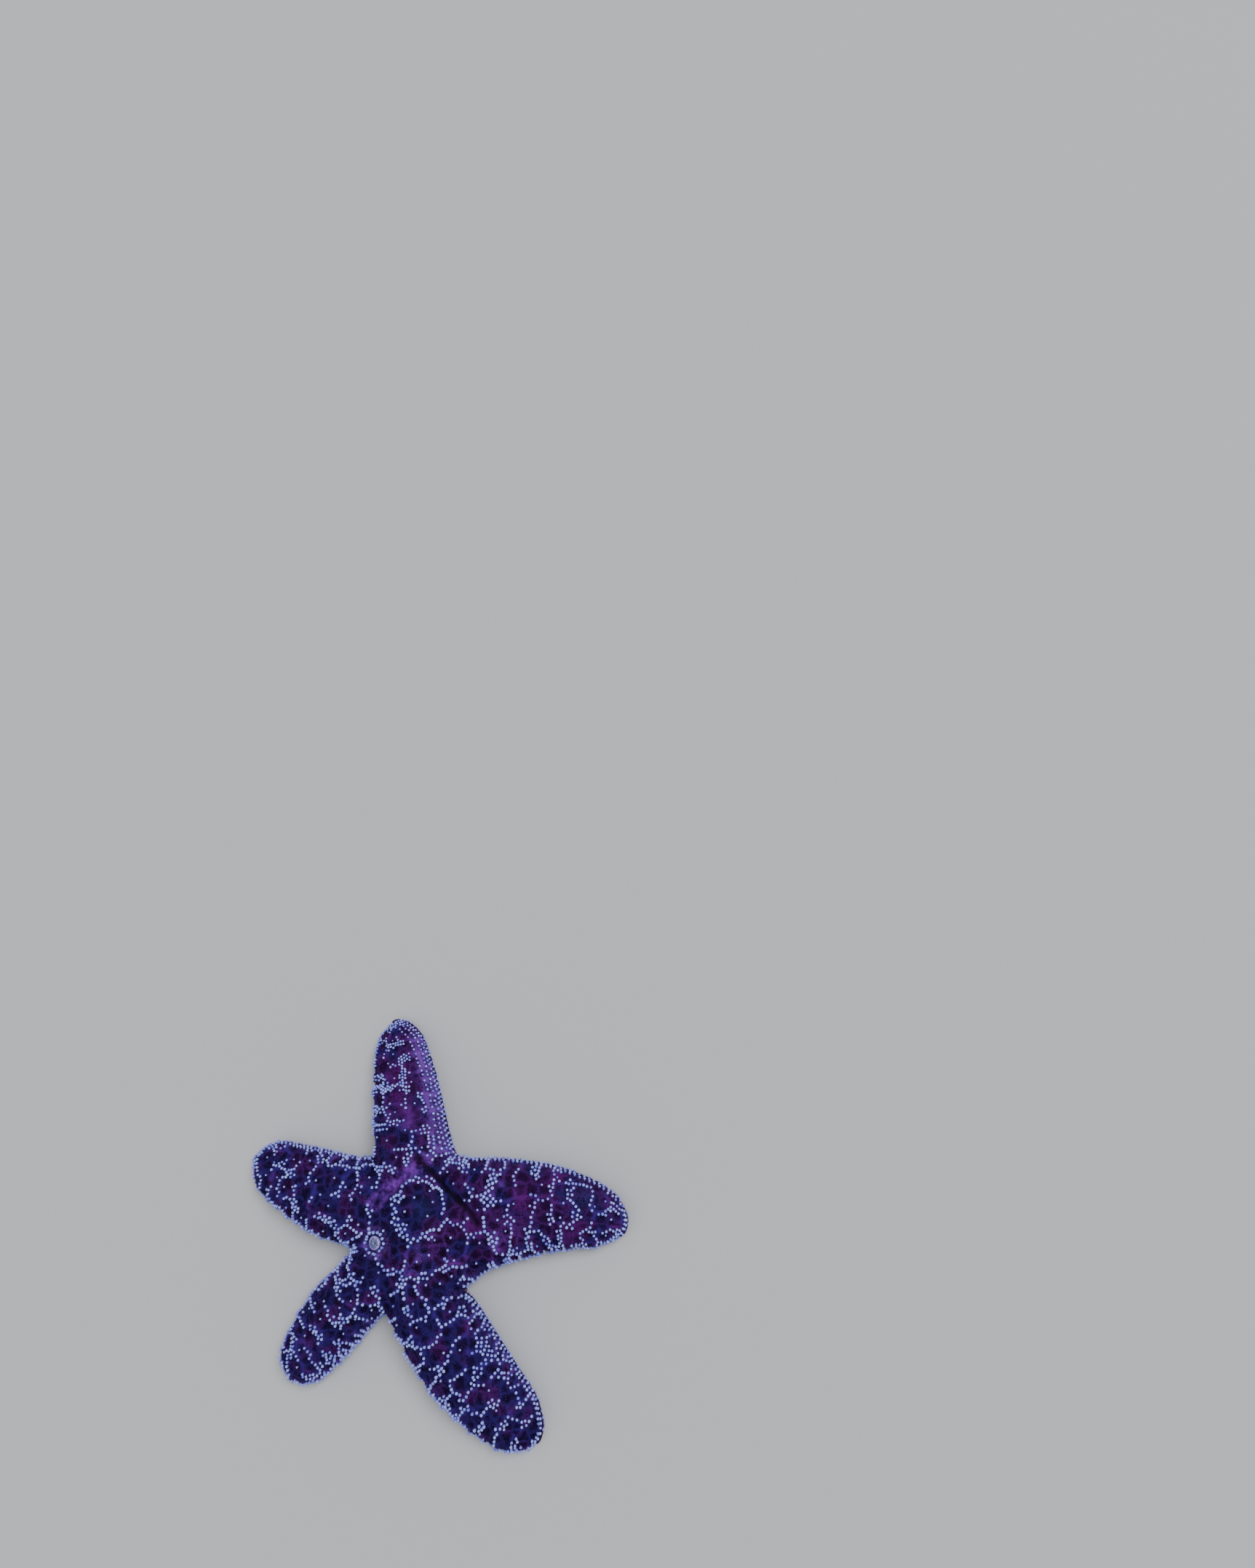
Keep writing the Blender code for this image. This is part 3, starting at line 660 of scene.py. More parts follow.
def skin_colour(tree):
    """The skin's colour from its marks, and the height of the rims round its small pits. The gills take their
    colour from the same marks."""
    mark = {name: add(tree, "ShaderNodeAttribute", attribute_name=name).outputs["Fac"] for name in marks}
    deep, wall = mark["deep"], mark["wall"]
    place = add(tree, "ShaderNodeTexCoord").outputs["Object"]
    cloud = add(tree, "ShaderNodeTexNoise", {"Vector": place, "Scale": 1 / CLOUD, "Detail": 2.0})
    fleck = add(tree, "ShaderNodeTexNoise", {"Vector": place, "Scale": 1 / FLECK, "Detail": 3.0})
    flecked = add(tree, "ShaderNodeMapRange", {"Value": fleck, "From Min": 0.35, "From Max": 0.7})
    warm = add(tree, "ShaderNodeMath", {0: mark["warm"], 1: 0.12, 2: cloud}, operation="MULTIPLY_ADD")
    warm = add(tree, "ShaderNodeMath", {0: deep, 1: 0.2, 2: warm}, operation="MULTIPLY_ADD")
    warm = add(tree, "ShaderNodeMapRange", {"Value": warm, "From Min": 0.5, "From Max": 0.64})
    pairs = ((warm, PITS), (warm, CRESTS), (warm, RIMS), (flecked, SHEEN_PINKS), (flecked, SOLE_MAUVES))
    pit, crest, rims, sheen_pinks, mauves = (
        add(tree, "ShaderNodeMix", {"Factor": share, "A": pair[0], "B": pair[1]}, data_type="RGBA")
        for share, pair in pairs
    )

    # Dark pits, and ridges that rise out of them, painted pale where they run down a wall, partly in their
    # own lilac and partly as a painted sheen
    pit = add(tree, "ShaderNodeMix", {"Factor": deep, "A": pit, "B": DEEP_PIT}, data_type="RGBA")
    crest = add(tree, "ShaderNodeMix", {"Factor": deep, "A": crest, "B": DEEP_CREST}, data_type="RGBA")
    crest = add(tree, "ShaderNodeMix", {"Factor": wall, "A": crest, "B": SHEEN_LILAC}, data_type="RGBA")
    raised = add(tree, "ShaderNodeMath", {0: mark["ridge"], 1: fleck}, operation="ADD")
    raised = add(tree, "ShaderNodeMapRange", {"Value": raised, "From Min": 0.42, "From Max": 1.2})
    colour = add(tree, "ShaderNodeMix", {"Factor": raised, "A": pit, "B": crest}, data_type="RGBA")

    # Small round pits between the ridges, each with a rim, plainest on the lower side of the disc
    bend = {"Vector": place, "Scale": 1 / SMALL_PIT_BENDS[0], "Detail": 0.0}
    bend = add(tree, "ShaderNodeTexNoise", bend).outputs["Color"]
    bend = {0: bend, 1: (SMALL_PIT_BENDS[1],) * 3, 2: place}
    bend = add(tree, "ShaderNodeVectorMath", bend, operation="MULTIPLY_ADD")
    edge = {"Vector": bend, "Scale": 1 / SMALL_PIT, "Randomness": 0.7}
    edge = add(tree, "ShaderNodeTexVoronoi", edge, feature="DISTANCE_TO_EDGE").outputs["Distance"]
    plain = add(tree, "ShaderNodeMath", {0: deep, 1: 0.6, 2: 0.4}, operation="MULTIPLY_ADD")
    rim = {"Value": edge, "From Min": 0.04, "From Max": 0.2, "To Min": 1.0, "To Max": 0.0}
    hollow = {"Value": edge, "From Min": 0.14, "From Max": 0.32}
    rim, hollow = (
        add(tree, "ShaderNodeMapRange", span, interpolation_type="SMOOTHSTEP") for span in (rim, hollow)
    )
    rim, hollow = (
        add(tree, "ShaderNodeMath", {0: share, 1: plain}, operation="MULTIPLY") for share in (rim, hollow)
    )
    colour = add(tree, "ShaderNodeMix", {"Factor": hollow, "A": colour, "B": DEEP_PIT}, data_type="RGBA")
    share = add(tree, "ShaderNodeMath", {0: rim, 1: 0.6}, operation="MULTIPLY")
    colour = add(tree, "ShaderNodeMix", {"Factor": share, "A": colour, "B": rims}, data_type="RGBA")

    # Over them the walls and the pink band, each partly a painted sheen, the other patches, the painted shade
    # in the crease, and the sole: mark, where it starts, how strong, and colour
    for name, start, strength, over in (
        ("wall", 0.2, 0.55, crest), ("blue", 0.2, 0.5, SPOT_BLUE), ("pink_and_sheen", 0.15, 0.85, sheen_pinks),
        ("wine", 0.1, 0.8, WINE), ("crease_shade", 0.15, 0.9, CREASE_SHADE), ("below", 0.0, 1.0, mauves),
    ):
        share = add(tree, "ShaderNodeMapRange", {"Value": mark[name], "From Min": start, "To Max": strength})
        colour = add(tree, "ShaderNodeMix", {"Factor": share, "A": colour, "B": over}, data_type="RGBA")
    return colour, rim


# Living hide, grown rather than formed: a fine grain of beads takes nearly all the shine from its wet surface
hide_gloss = {"Roughness": 0.7, "Specular IOR Level": 0.05}
skin_material, tree, surface = new_material("wet sea star hide", hide_gloss)
place = add(tree, "ShaderNodeTexCoord").outputs["Object"]
beads = add(tree, "ShaderNodeTexVoronoi", {"Vector": place, "Scale": 1 / HIDE_BEAD}).outputs["Distance"]
soft = add(tree, "ShaderNodeTexNoise", {"Vector": place, "Scale": 1 / HIDE_SOFTNESS, "Detail": 3.0})
grain = add(tree, "ShaderNodeMath", {0: beads, 1: -0.7, 2: soft}, operation="MULTIPLY_ADD")
grain = add(tree, "ShaderNodeBump", {"Height": grain, "Distance": HIDE_HEIGHT})
colour, rim = skin_colour(tree)
rim = add(tree, "ShaderNodeBump", {"Height": rim, "Distance": RIM_HEIGHT, "Normal": grain})
feed(tree, surface, {"Base Color": colour, "Normal": rim})


def new_piece(name, points, faces, material, facts, unwrap=None):
    """A smooth mesh that holds values at its points, and its place on the skin's unwrap if it has one."""
    mesh = bpy.data.meshes.new(name)
    mesh.from_pydata([tuple(point) for point in points], [], [tuple(map(int, face)) for face in faces])
    for label, values in facts.items():
        mesh.attributes.new(label, "FLOAT", "POINT").data.foreach_set("value", np.asarray(values, "f"))
    if unwrap is not None:
        mesh.uv_layers.new(name="OFBake").uv.foreach_set("vector", np.asarray(unwrap, "f").ravel())
    mesh.materials.append(material)
    mesh.shade_smooth()
    made = bpy.data.objects.new(name, mesh)
    bpy.context.collection.objects.link(made)
    return made


skin_piece = new_piece("skin", skin, faces, skin_material, marks, unwrap[corners])
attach(skin_piece, "root")
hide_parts("disc", *ARMS)

# ------------------------------------------------------------------------------------------------------------
# Spines of the back. Short blunt pegs of lime with a pale round head, each standing in a sleeve of skin. They
# are fixed to the plates, so they stand in chains along the ridges of the net, in some places two or three
# side by side, and in even rows along the lower edge.

SPINE_HEIGHT = 0.0022
SPINE_HEAD = 0.00100       # radius
SPINE_ROOT = 0.0003        # how far its foot stands in the skin
SPINE_GAP = 0.0021
GAP_BY_CROWD = (1.08, 0.3)             # share of that gap in a middling stretch, and how much crowds take off
TAKEN_GAP = 0.85                       # of the gap, kept to places already taken
NEXT_GAP = 1.9                         # of the gap, within which the next one follows
SPINE_SIZES = (0.86, 1.0)
SPINE_SWELL = (0.012, 0.14, 13)        # size, strength and seed of the patches with larger spines
SPINE_LEAN = 0.1
SPINE_UPRIGHT = 0.12                   # how much they turn upwards, besides standing off the skin
EDGE_ROWS = ((0.0008, 0.0025), (0.0041, 0.0026))   # distance from the widest line, and gap along the row
WALL_ROWS = ((0.0080, 0.0028), (0.0122, 0.0034))   # the same, only on the side that leans to the light
ROW_HALF_WIDTH = 0.00046
ROWS_END = (0.0062, 0.0165)            # from the widest line, on most sides and on that one
DENSE_TIPS = (0.005, 0.003)            # length of the close-set tip of the first arm, and of the others
SMALLER_TIPS = (0.36, 0.18)            # how much smaller their spines get towards the tip
CROWD = (0.0075, 8)                    # metres from one crowded stretch to the next, and seed
THINNER = 0.1                          # how much less crowded the three lower arms are
THIN_FROM = 0.03                       # from the centre
SINGLE = (-0.40, 0.0005)               # how crowded it must be, and how far from the ridge they may stand
DOUBLE = (-0.04, 0.0012)
TREBLE = (0.2, 0.0024)
SLIT_BARE = 0.3                        # how far into the crease the ridges turn bare
PINK_BARE = (0.45, 0.4)                # the same for the pink band: the least, and how much it varies
SIEVE_ROOM = 0.0052                    # from the middle of the sieve plate: bare, and the ring round it
SIEVE_RING = 0.0060
LONE_SHARE = 0.012                     # of the places between the ridges with a small spine of their own
LONE_ROOM = 0.0025                     # from the nearest ridge
LONE_PINK = 0.4                        # how far into the pink band they stand
LONE_GAPS = 3                          # their gap and size, as shares of the others'
LONE_SIZE = 0.75
PATCH = 0.0030                         # of the unwrap under one peg, across, as a share of its side
SPINE_LUMPS = 0.0011                   # metres from one lump of a peg to the next
SPINE_FLECK = 0.0011                   # and from one fleck of its colour to the next
LIME_GRAIN = (0.0005, 0.0001)          # size and height
SLEEVE_PLUM = "#361062"
SPINE_PROFILE = (                      # share of the way from top to foot, radius, height
    (0.0, 0.0, 1.0), (0.17, 0.66, 0.95), (0.33, 1.0, 0.80), (0.5, 0.9, 0.58),
    (0.67, 0.58, 0.34), (0.83, 0.98, 0.09), (1.0, 0.0, 0.0),
)


def spaced(order, gaps, taken):
    """Places from an ordered list that keep their gap, each next one set as near to the last ones as it may
    stand, so that they follow each other like beads. Places already taken are kept clear too."""
    tree = kdtree.KDTree(len(order))
    for i, place in enumerate(order):
        tree.insert(skin[place], i)
    tree.balance()
    free = np.ones(len(order), bool)
    for place in taken:
        for _, i, far in tree.find_range(skin[place], SPINE_GAP):
            free[i] = free[i] and far > TAKEN_GAP * gaps[order[i]]
    kept = []
    waiting = [(math.inf, i) for i in range(len(order))]
    while waiting:
        _, i = heapq.heappop(waiting)
        if not free[i]:
            continue
        kept.append(int(order[i]))
        gap = gaps[order[i]]
        for _, j, far in tree.find_range(skin[order[i]], NEXT_GAP * gap):
            if far < gap:
                free[j] = False
            elif free[j]:
                heapq.heappush(waiting, (far, j))
    return kept


def turned_tree(name, profile, segments, material):
    """Geometry nodes that stand a turned peg on every point of a mesh. Each point holds its peg's size, spin,
    direction and place on the unwrap, and the profile gives radius and height from the top to the foot."""
    tree = bpy.data.node_groups.new(name, "GeometryNodeTree")
    tree.interface.new_socket("Geometry", in_out="INPUT", socket_type="NodeSocketGeometry")
    for label in ("Radius", "Height", "Foot depth", "Patch", "Unevenness"):
        tree.interface.new_socket(label, in_out="INPUT", socket_type="NodeSocketFloat")
    tree.interface.new_socket("Geometry", in_out="OUTPUT", socket_type="NodeSocketGeometry")
    given = add(tree, "NodeGroupInput").outputs
    held = {}
    for label in ("size", "spin", "share"):
        held[label] = add(tree, "GeometryNodeInputNamedAttribute", {"Name": label}, data_type="FLOAT")
    for label in ("stand", "root", "around"):
        held[label] = add(tree, "GeometryNodeInputNamedAttribute", {"Name": label}, data_type="FLOAT_VECTOR")

    # One peg, from a ball whose rings are moved on to the profile
    rings = len(profile) - 1
    ball = add(tree, "GeometryNodeMeshUVSphere", {"Segments": segments, "Rings": rings, "Radius": 1.0})
    x, y, z = add(tree, "ShaderNodeSeparateXYZ", {0: add(tree, "GeometryNodeInputPosition")}).outputs
    turn = add(tree, "ShaderNodeMath", {0: z}, operation="ARCCOSINE")
    share = add(tree, "ShaderNodeMath", {0: turn, 1: math.pi}, operation="DIVIDE", use_clamp=True)
    around = add(tree, "ShaderNodeCombineXYZ", {0: x, 1: y})
    around = add(tree, "ShaderNodeVectorMath", {0: around}, operation="NORMALIZE")
    peg = {"Geometry": ball.outputs["Mesh"], "Name": "share", "Value": share}
    peg = add(tree, "GeometryNodeStoreNamedAttribute", peg, data_type="FLOAT", domain="POINT")
    peg = {"Geometry": peg, "Name": "around", "Value": around}
    peg = add(tree, "GeometryNodeStoreNamedAttribute", peg, data_type="FLOAT_VECTOR", domain="POINT")
    turned = []
    for column in (1, 2):
        curve = add(tree, "ShaderNodeFloatCurve", {"Value": share})
        line = curve.mapping.curves[0].points
        line[0].location = profile[0][0], profile[0][column]
        line[1].location = profile[-1][0], profile[-1][column]
        for row in profile[1:-1]:
            line.new(row[0], row[column])
        for point in line:
            point.handle_type = "VECTOR"
        curve.mapping.update()
        turned.append(curve)
    radius = add(tree, "ShaderNodeMath", {0: turned[0], 1: given["Radius"]}, operation="MULTIPLY")
    height = add(tree, "ShaderNodeMath", {0: turned[1], 1: given["Height"]}, operation="MULTIPLY")
    height = add(tree, "ShaderNodeMath", {0: height, 1: given["Foot depth"]}, operation="SUBTRACT")
    flat = add(tree, "ShaderNodeVectorMath", {0: around, "Scale": radius}, operation="SCALE")
    upright = add(tree, "ShaderNodeCombineXYZ", {2: height})
    place = add(tree, "ShaderNodeVectorMath", {0: flat, 1: upright}, operation="ADD")
    peg = add(tree, "GeometryNodeSetPosition", {"Geometry": peg, "Position": place})

    # The pegs on their points, each a little uneven, with a small patch of the unwrap round its root
    spin = add(tree, "FunctionNodeEulerToRotation", {0: add(tree, "ShaderNodeCombineXYZ", {2: held["spin"]})})
    turn = {"Rotation": spin, "Vector": held["stand"]}
    turn = add(tree, "FunctionNodeAlignRotationToVector", turn, axis="Z")
    pegs = {"Points": given["Geometry"], "Instance": peg, "Rotation": turn, "Scale": held["size"]}
    pegs = add(tree, "GeometryNodeRealizeInstances", {0: add(tree, "GeometryNodeInstanceOnPoints", pegs)})
    lump = {"Vector": add(tree, "GeometryNodeInputPosition"), "Scale": 1 / SPINE_LUMPS, "Detail": 1.0}
    lump = add(tree, "ShaderNodeTexNoise", lump).outputs["Color"]
    lump = add(tree, "ShaderNodeVectorMath", {0: lump, 1: (0.5, 0.5, 0.5)}, operation="SUBTRACT")
    lump = add(tree, "ShaderNodeVectorMath", {0: lump, "Scale": given["Unevenness"]}, operation="SCALE")
    pegs = add(tree, "GeometryNodeSetPosition", {"Geometry": pegs, "Offset": lump})
    patch = add(tree, "ShaderNodeMath", {0: held["share"], 1: given["Patch"]}, operation="MULTIPLY")
    patch = add(tree, "ShaderNodeVectorMath", {0: held["around"], "Scale": patch}, operation="SCALE")
    patch = add(tree, "ShaderNodeVectorMath", {0: patch, 1: held["root"]}, operation="ADD")
    pegs = {"Geometry": pegs, "Name": "OFBake", "Value": patch}
    pegs = add(tree, "GeometryNodeStoreNamedAttribute", pegs, data_type="FLOAT2", domain="CORNER")
    pegs = add(tree, "GeometryNodeSetShadeSmooth", {"Geometry": pegs})
    pegs = add(tree, "GeometryNodeSetMaterial", {"Geometry": pegs, "Material": material})
    add(tree, "NodeGroupOutput", {0: pegs})
    return tree


def grained(tree, surface, colour, size, height):
    """Gives a surface its colour, and a fine grain with a size and a height in metres."""
    place = add(tree, "ShaderNodeTexCoord").outputs["Object"]
    grain = add(tree, "ShaderNodeTexNoise", {"Vector": place, "Scale": 1 / size})
    grain = add(tree, "ShaderNodeBump", {"Height": grain, "Distance": height})
    feed(tree, surface, {"Base Color": colour, "Normal": grain})


def grown(name, tree, sizes, roots, facts):
    """The plain mesh that a tree of pegs makes on its roots."""
    mesh = bpy.data.meshes.new(name)
    mesh.from_pydata([tuple(place) for place in roots], [], [])
    facts = {"spin": dice.uniform(0, 2 * math.pi, len(roots)), **facts}
    for label, values in facts.items():
        vector = np.ndim(values) == 2
        held = mesh.attributes.new(label, "FLOAT_VECTOR" if vector else "FLOAT", "POINT").data
        held.foreach_set("vector" if vector else "value", np.asarray(values, "f").ravel())
    carrier = bpy.data.objects.new(name, mesh)
    bpy.context.collection.objects.link(carrier)
    modifier = carrier.modifiers.new("pegs", "NODES")
    modifier.node_group = tree
    sizes = {"Patch": PATCH / 2, **sizes}
    for socket in tree.interface.items_tree:
        if socket.in_out == "INPUT" and socket.name in sizes:
            modifier[socket.identifier] = sizes[socket.name]
    depsgraph = bpy.context.evaluated_depsgraph_get()
    shown = carrier.evaluated_get(depsgraph)
    plain = bpy.data.meshes.new_from_object(shown, preserve_all_data_layers=True, depsgraph=depsgraph)
    bpy.data.objects.remove(carrier)
    bpy.data.meshes.remove(mesh)
    for label in ("size", "spin", "stand", "root", "around"):
        plain.attributes.remove(plain.attributes[label])
    plain.name = name
    made = bpy.data.objects.new(name, plain)
    bpy.context.collection.objects.link(made)
    return made


# Lime under a thin skin, grown: pale blue chalky heads with a faint wet gleam, in plum-coloured sleeves
spine_gloss = {"Roughness": 0.36, "Specular IOR Level": 0.3, "Coat Weight": 0.15, "Coat Roughness": 0.16}
spine_material, tree, surface = new_material("lime spine in its sleeve", spine_gloss)
place = add(tree, "ShaderNodeTexCoord").outputs["Object"]
share, tone, lilac, pinkness = (
    add(tree, "ShaderNodeAttribute", attribute_name=name).outputs["Fac"]
    for name in ("share", "tone", "wall", "pink_and_sheen")
)
fleck = add(tree, "ShaderNodeTexNoise", {"Vector": place, "Scale": 1 / SPINE_FLECK})
fleck = add(tree, "ShaderNodeMapRange", {"Value": fleck, "From Min": 0.3, "From Max": 0.7})
head = add(tree, "ShaderNodeMix", {"Factor": fleck, "A": "#8A94F6", "B": "#AEB8FF"}, data_type="RGBA")
head = add(tree, "ShaderNodeMix", {"Factor": tone, "A": head, "B": "#6C72DA"}, data_type="RGBA")
# The sleeves carry the painted sheen of the steep sides and of the pink band over their own plum and pink
sleeve = add(tree, "ShaderNodeMix", {"Factor": lilac, "A": SLEEVE_PLUM, "B": SHEEN_LILAC}, data_type="RGBA")
pinkness = add(tree, "ShaderNodeMapRange", {"Value": pinkness, "From Min": 0.15, "To Max": 0.8})
sleeve = add(tree, "ShaderNodeMix", {"Factor": pinkness, "A": sleeve, "B": "#7A3AA0"}, data_type="RGBA")
foot = add(tree, "ShaderNodeMapRange", {"Value": share, "From Min": 0.56, "From Max": 0.78})
colour = add(tree, "ShaderNodeMix", {"Factor": foot, "A": head, "B": sleeve}, data_type="RGBA")
grained(tree, surface, colour, *LIME_GRAIN)

# Where they may stand
bare = (slit > SLIT_BARE) | (from_sieve < SIEVE_ROOM) | ~on_back
sparse = dice.random(len(skin))
thinner = THINNER * (1 - marks["warm"]) * smooth_step(arm_distance / THIN_FROM - 1)
crowd = noise_at(skin, *CROWD) - thinner
fine = 1 - np.where(arm_number == 0, *SMALLER_TIPS) * (arm_distance / lengths) ** 1.2
gaps = SPINE_GAP * fine * (GAP_BY_CROWD[0] - GAP_BY_CROWD[1] * np.clip(crowd, -0.5, 0.4))

edge_roots = []
for rows, where in ((EDGE_ROWS, on_back), (WALL_ROWS, facing)):
    for depth, gap in rows:
        row = np.where((np.abs(from_edge - depth) < ROW_HALF_WIDTH) & ~bare & where)[0]
        row = row[np.argsort(arm_distance[row])]
        edge_roots += spaced(row, gap * fine, edge_roots)

at_tip = from_tip < np.where(arm_number == 0, *DENSE_TIPS)
in_rows = from_edge < np.where(facing, ROWS_END[1], ROWS_END[0])
chain = at_tip.copy()
for crowding, reach in (SINGLE, DOUBLE, TREBLE):
    chain |= (crowd > crowding) & (from_ridge < reach)
chain &= ~bare & (~in_rows | at_tip) & (pink_sheen_band < PINK_BARE[0] + PINK_BARE[1] * sparse)
sieve_ring = (np.abs(from_sieve - SIEVE_RING) < ROW_HALF_WIDTH) & on_back
order = np.where(chain | sieve_ring)[0]
order = order[np.argsort(-(ridge + 2 * sieve_ring)[order], kind="stable")]
chain_roots = spaced(order, gaps, edge_roots)
lone = (from_ridge > LONE_ROOM * scale) & ~bare & ~in_rows & (sparse < LONE_SHARE) & (pink_sheen_band < LONE_PINK)
lone_roots = spaced(np.where(lone)[0], gaps * LONE_GAPS, edge_roots + chain_roots)

roots = np.array(edge_roots + chain_roots + lone_roots)
sizes = dice.uniform(*SPINE_SIZES, len(roots)) * uneven(skin[roots], 1, SPINE_SWELL)
sizes *= fine[roots]
sizes[len(edge_roots) + len(chain_roots) :] *= LONE_SIZE
lean = skin_normals[roots] + dice.normal(0, SPINE_LEAN, (len(roots), 3)) + (0, 0, SPINE_UPRIGHT)
spine_tree = turned_tree("turned spine", SPINE_PROFILE, 10, spine_material)
spine_sizes = {
    "Radius": SPINE_HEAD, "Height": SPINE_HEIGHT + SPINE_ROOT,
    "Foot depth": SPINE_ROOT, "Unevenness": 0.00025,
}
for number, name in enumerate(ARMS):
    mine = arm_number[roots] == number
    at = roots[mine]
    facts = {"size": sizes[mine], "stand": lean[mine], "root": root_at[at]}
    facts |= {"tone": dice.random(len(at)) ** 2, "wall": marks["wall"][at], "pink_and_sheen": pink_and_sheen[at]}
    spines = grown(f"spines_{name}", spine_tree, spine_sizes, skin[at], facts)
    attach(spines, "root")

# ------------------------------------------------------------------------------------------------------------
# Spines of the sole. The same pegs, shorter and paler, set in the skin from the lower edge to the furrow for
# the feet. They just clear the ground. A closer row along each side of the furrow guards the feet.

SOLE_SPINE_REACH = 0.00086         # the most that one stands out of the skin
SOLE_SPINE_LENGTH = 0.00106
SOLE_SPINE_ROOT = 0.0003
SOLE_SPINE_RADIUS = 0.00075
SOLE_SPINE_TILT = 0.35             # share of its radius by which a leaning head comes nearer to the ground
SOLE_SPINE_GAP = 0.0026
SOLE_TIP_SHARE = 0.75              # of the gap, at an arm's tip
TUCK_SPINES = (0.0016, 0.0065)     # from the widest line, where the skin lies deep enough for long ones
TUCK_SIZES = (1.15, 1.4)
GUARDS = (1.1, 1.5)                # of the furrow's half width
GUARDS_END = 0.004                 # from the tip
GUARD_GAP_SHARE = 0.68
MOUTH_ROOM = 1.12                  # bare round the mouth, in radii of its recess
GROUND_CLEARANCE = 0.0001

# The same lime and skin: pale blue where it shows at the edge, bone-coloured underneath
sole_spine_material, tree, surface = new_material("lime spine of the sole", {"Roughness": 0.45})
share, tone, high = (
    add(tree, "ShaderNodeAttribute", attribute_name=name).outputs["Fac"] for name in ("share", "tone", "high")
)
head = add(tree, "ShaderNodeMix", {"Factor": tone, "A": "#D8CFDD", "B": "#B7A3C6"}, data_type="RGBA")
head = add(tree, "ShaderNodeMix", {"Factor": high, "A": head, "B": "#929AF4"}, data_type="RGBA")
foot = add(tree, "ShaderNodeMapRange", {"Value": share, "From Min": 0.5, "From Max": 0.85})
colour = add(tree, "ShaderNodeMix", {"Factor": foot, "A": head, "B": SOLE_MAUVES[0]}, data_type="RGBA")
grained(tree, surface, colour, *LIME_GRAIN)

along = arm_distance / lengths
from_middle = np.min([from_line(points[:, :2], arm.line[::8]) for arm in arms.values()], axis=0)
furrow_share = from_middle / furrow_half_width(along)
under = ~on_back & (np.linalg.norm(plan, axis=1) > MOUTH_RADIUS * MOUTH_ROOM)
beside = np.abs(furrow_share - sum(GUARDS) / 2) < (GUARDS[1] - GUARDS[0]) / 2
guard = under & beside & (from_tip > GUARDS_END)
under &= (furrow_share > GUARDS[1]) & (from_edge > TUCK_SPINES[0])
tuck = under & (from_edge < TUCK_SPINES[1])
gaps = SOLE_SPINE_GAP * between((1, SOLE_TIP_SHARE), along**2)
tuck_roots = spaced(np.where(tuck)[0], gaps, edge_roots)
guard_roots = spaced(np.where(guard)[0], gaps * GUARD_GAP_SHARE, [])
flat_roots = spaced(np.where(under & ~tuck)[0], gaps, tuck_roots + guard_roots)

low = np.array(tuck_roots + flat_roots + guard_roots)
sizes = np.ones(len(low))
sizes[: len(tuck_roots)] = dice.uniform(*TUCK_SIZES, len(tuck_roots))
lean = outward[low] + dice.normal(0, SPINE_LEAN / 2, (len(low), 3))
lean /= np.linalg.norm(lean, axis=1, keepdims=True)
headroom = (skin[low, 2] - GROUND_CLEARANCE) / np.maximum(-lean[:, 2], 0.2)
sizes = np.minimum(sizes * coat[low] / SOLE_COAT_DEPTH, sizes)
sizes = np.minimum(sizes, headroom / (SOLE_SPINE_REACH + SOLE_SPINE_TILT * SOLE_SPINE_RADIUS))
sole_spine_tree = turned_tree("turned sole spine", SPINE_PROFILE, 7, sole_spine_material)
sole_spine_sizes = {
    "Radius": SOLE_SPINE_RADIUS, "Height": SOLE_SPINE_LENGTH,
    "Foot depth": SOLE_SPINE_ROOT, "Unevenness": 0.0001,
}
facts = {"size": sizes, "stand": lean, "root": root_at[low], "tone": dice.random(len(low))}
facts["high"] = 1 - smooth_step(from_edge[low], *SOLE_COLOUR)
low_spines = grown("sole_spines", sole_spine_tree, sole_spine_sizes, skin[low], facts)
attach(low_spines, "root")

# ------------------------------------------------------------------------------------------------------------
# Soft gills. Thin-walled fingers of skin that stand up through the gaps of the net to breathe. They fill the
# pits between the spines in patches.

GILL_HEIGHT = 0.0012
GILL_RADIUS = 0.00048
GILL_FOOT = 0.0004         # how much of it stands in the skin
GILL_GAP = 0.0014
GILL_GAPS = (0.8, 1.3)     # shares of that gap, from the closest to the widest
GILL_SIZES = (0.55, 1.15)
GILL_SHIFT = 0.00018
GILL_LEAN = 0.22
GILL_PATCH = (0.006, 9)    # metres from one patch of gills to the next, and seed
GILL_FROM_RIDGE = 0.0013
GILL_FROM_EDGE = 0.003
GILL_FROM_TIP = 0.006
GILL_TONES = (0.009, 0.8, 10)      # size, strength and seed of the patches with paler gills
GILL_PROFILE = ((0.0, 0.0, 1.0), (0.25, 0.72, 0.86), (0.5, 1.0, 0.5), (0.75, 0.8, 0.1), (1.0, 0.0, 0.0))

# Thin wet skin, grown: it has the colour of its place at the foot, a slightly lighter tip, and no more shine
# than the hide
gill_gloss = {"Roughness": 0.65, "Specular IOR Level": 0.03}
gill_material, tree, surface = new_material("thin skin of a gill", gill_gloss)
share, tone, pinkness = (
    add(tree, "ShaderNodeAttribute", attribute_name=name).outputs["Fac"] for name in ("share", "tone", "pink_and_sheen")
)
top = add(tree, "ShaderNodeMix", {"Factor": tone, "A": "#1D0A33", "B": "#3A1E60"}, data_type="RGBA")
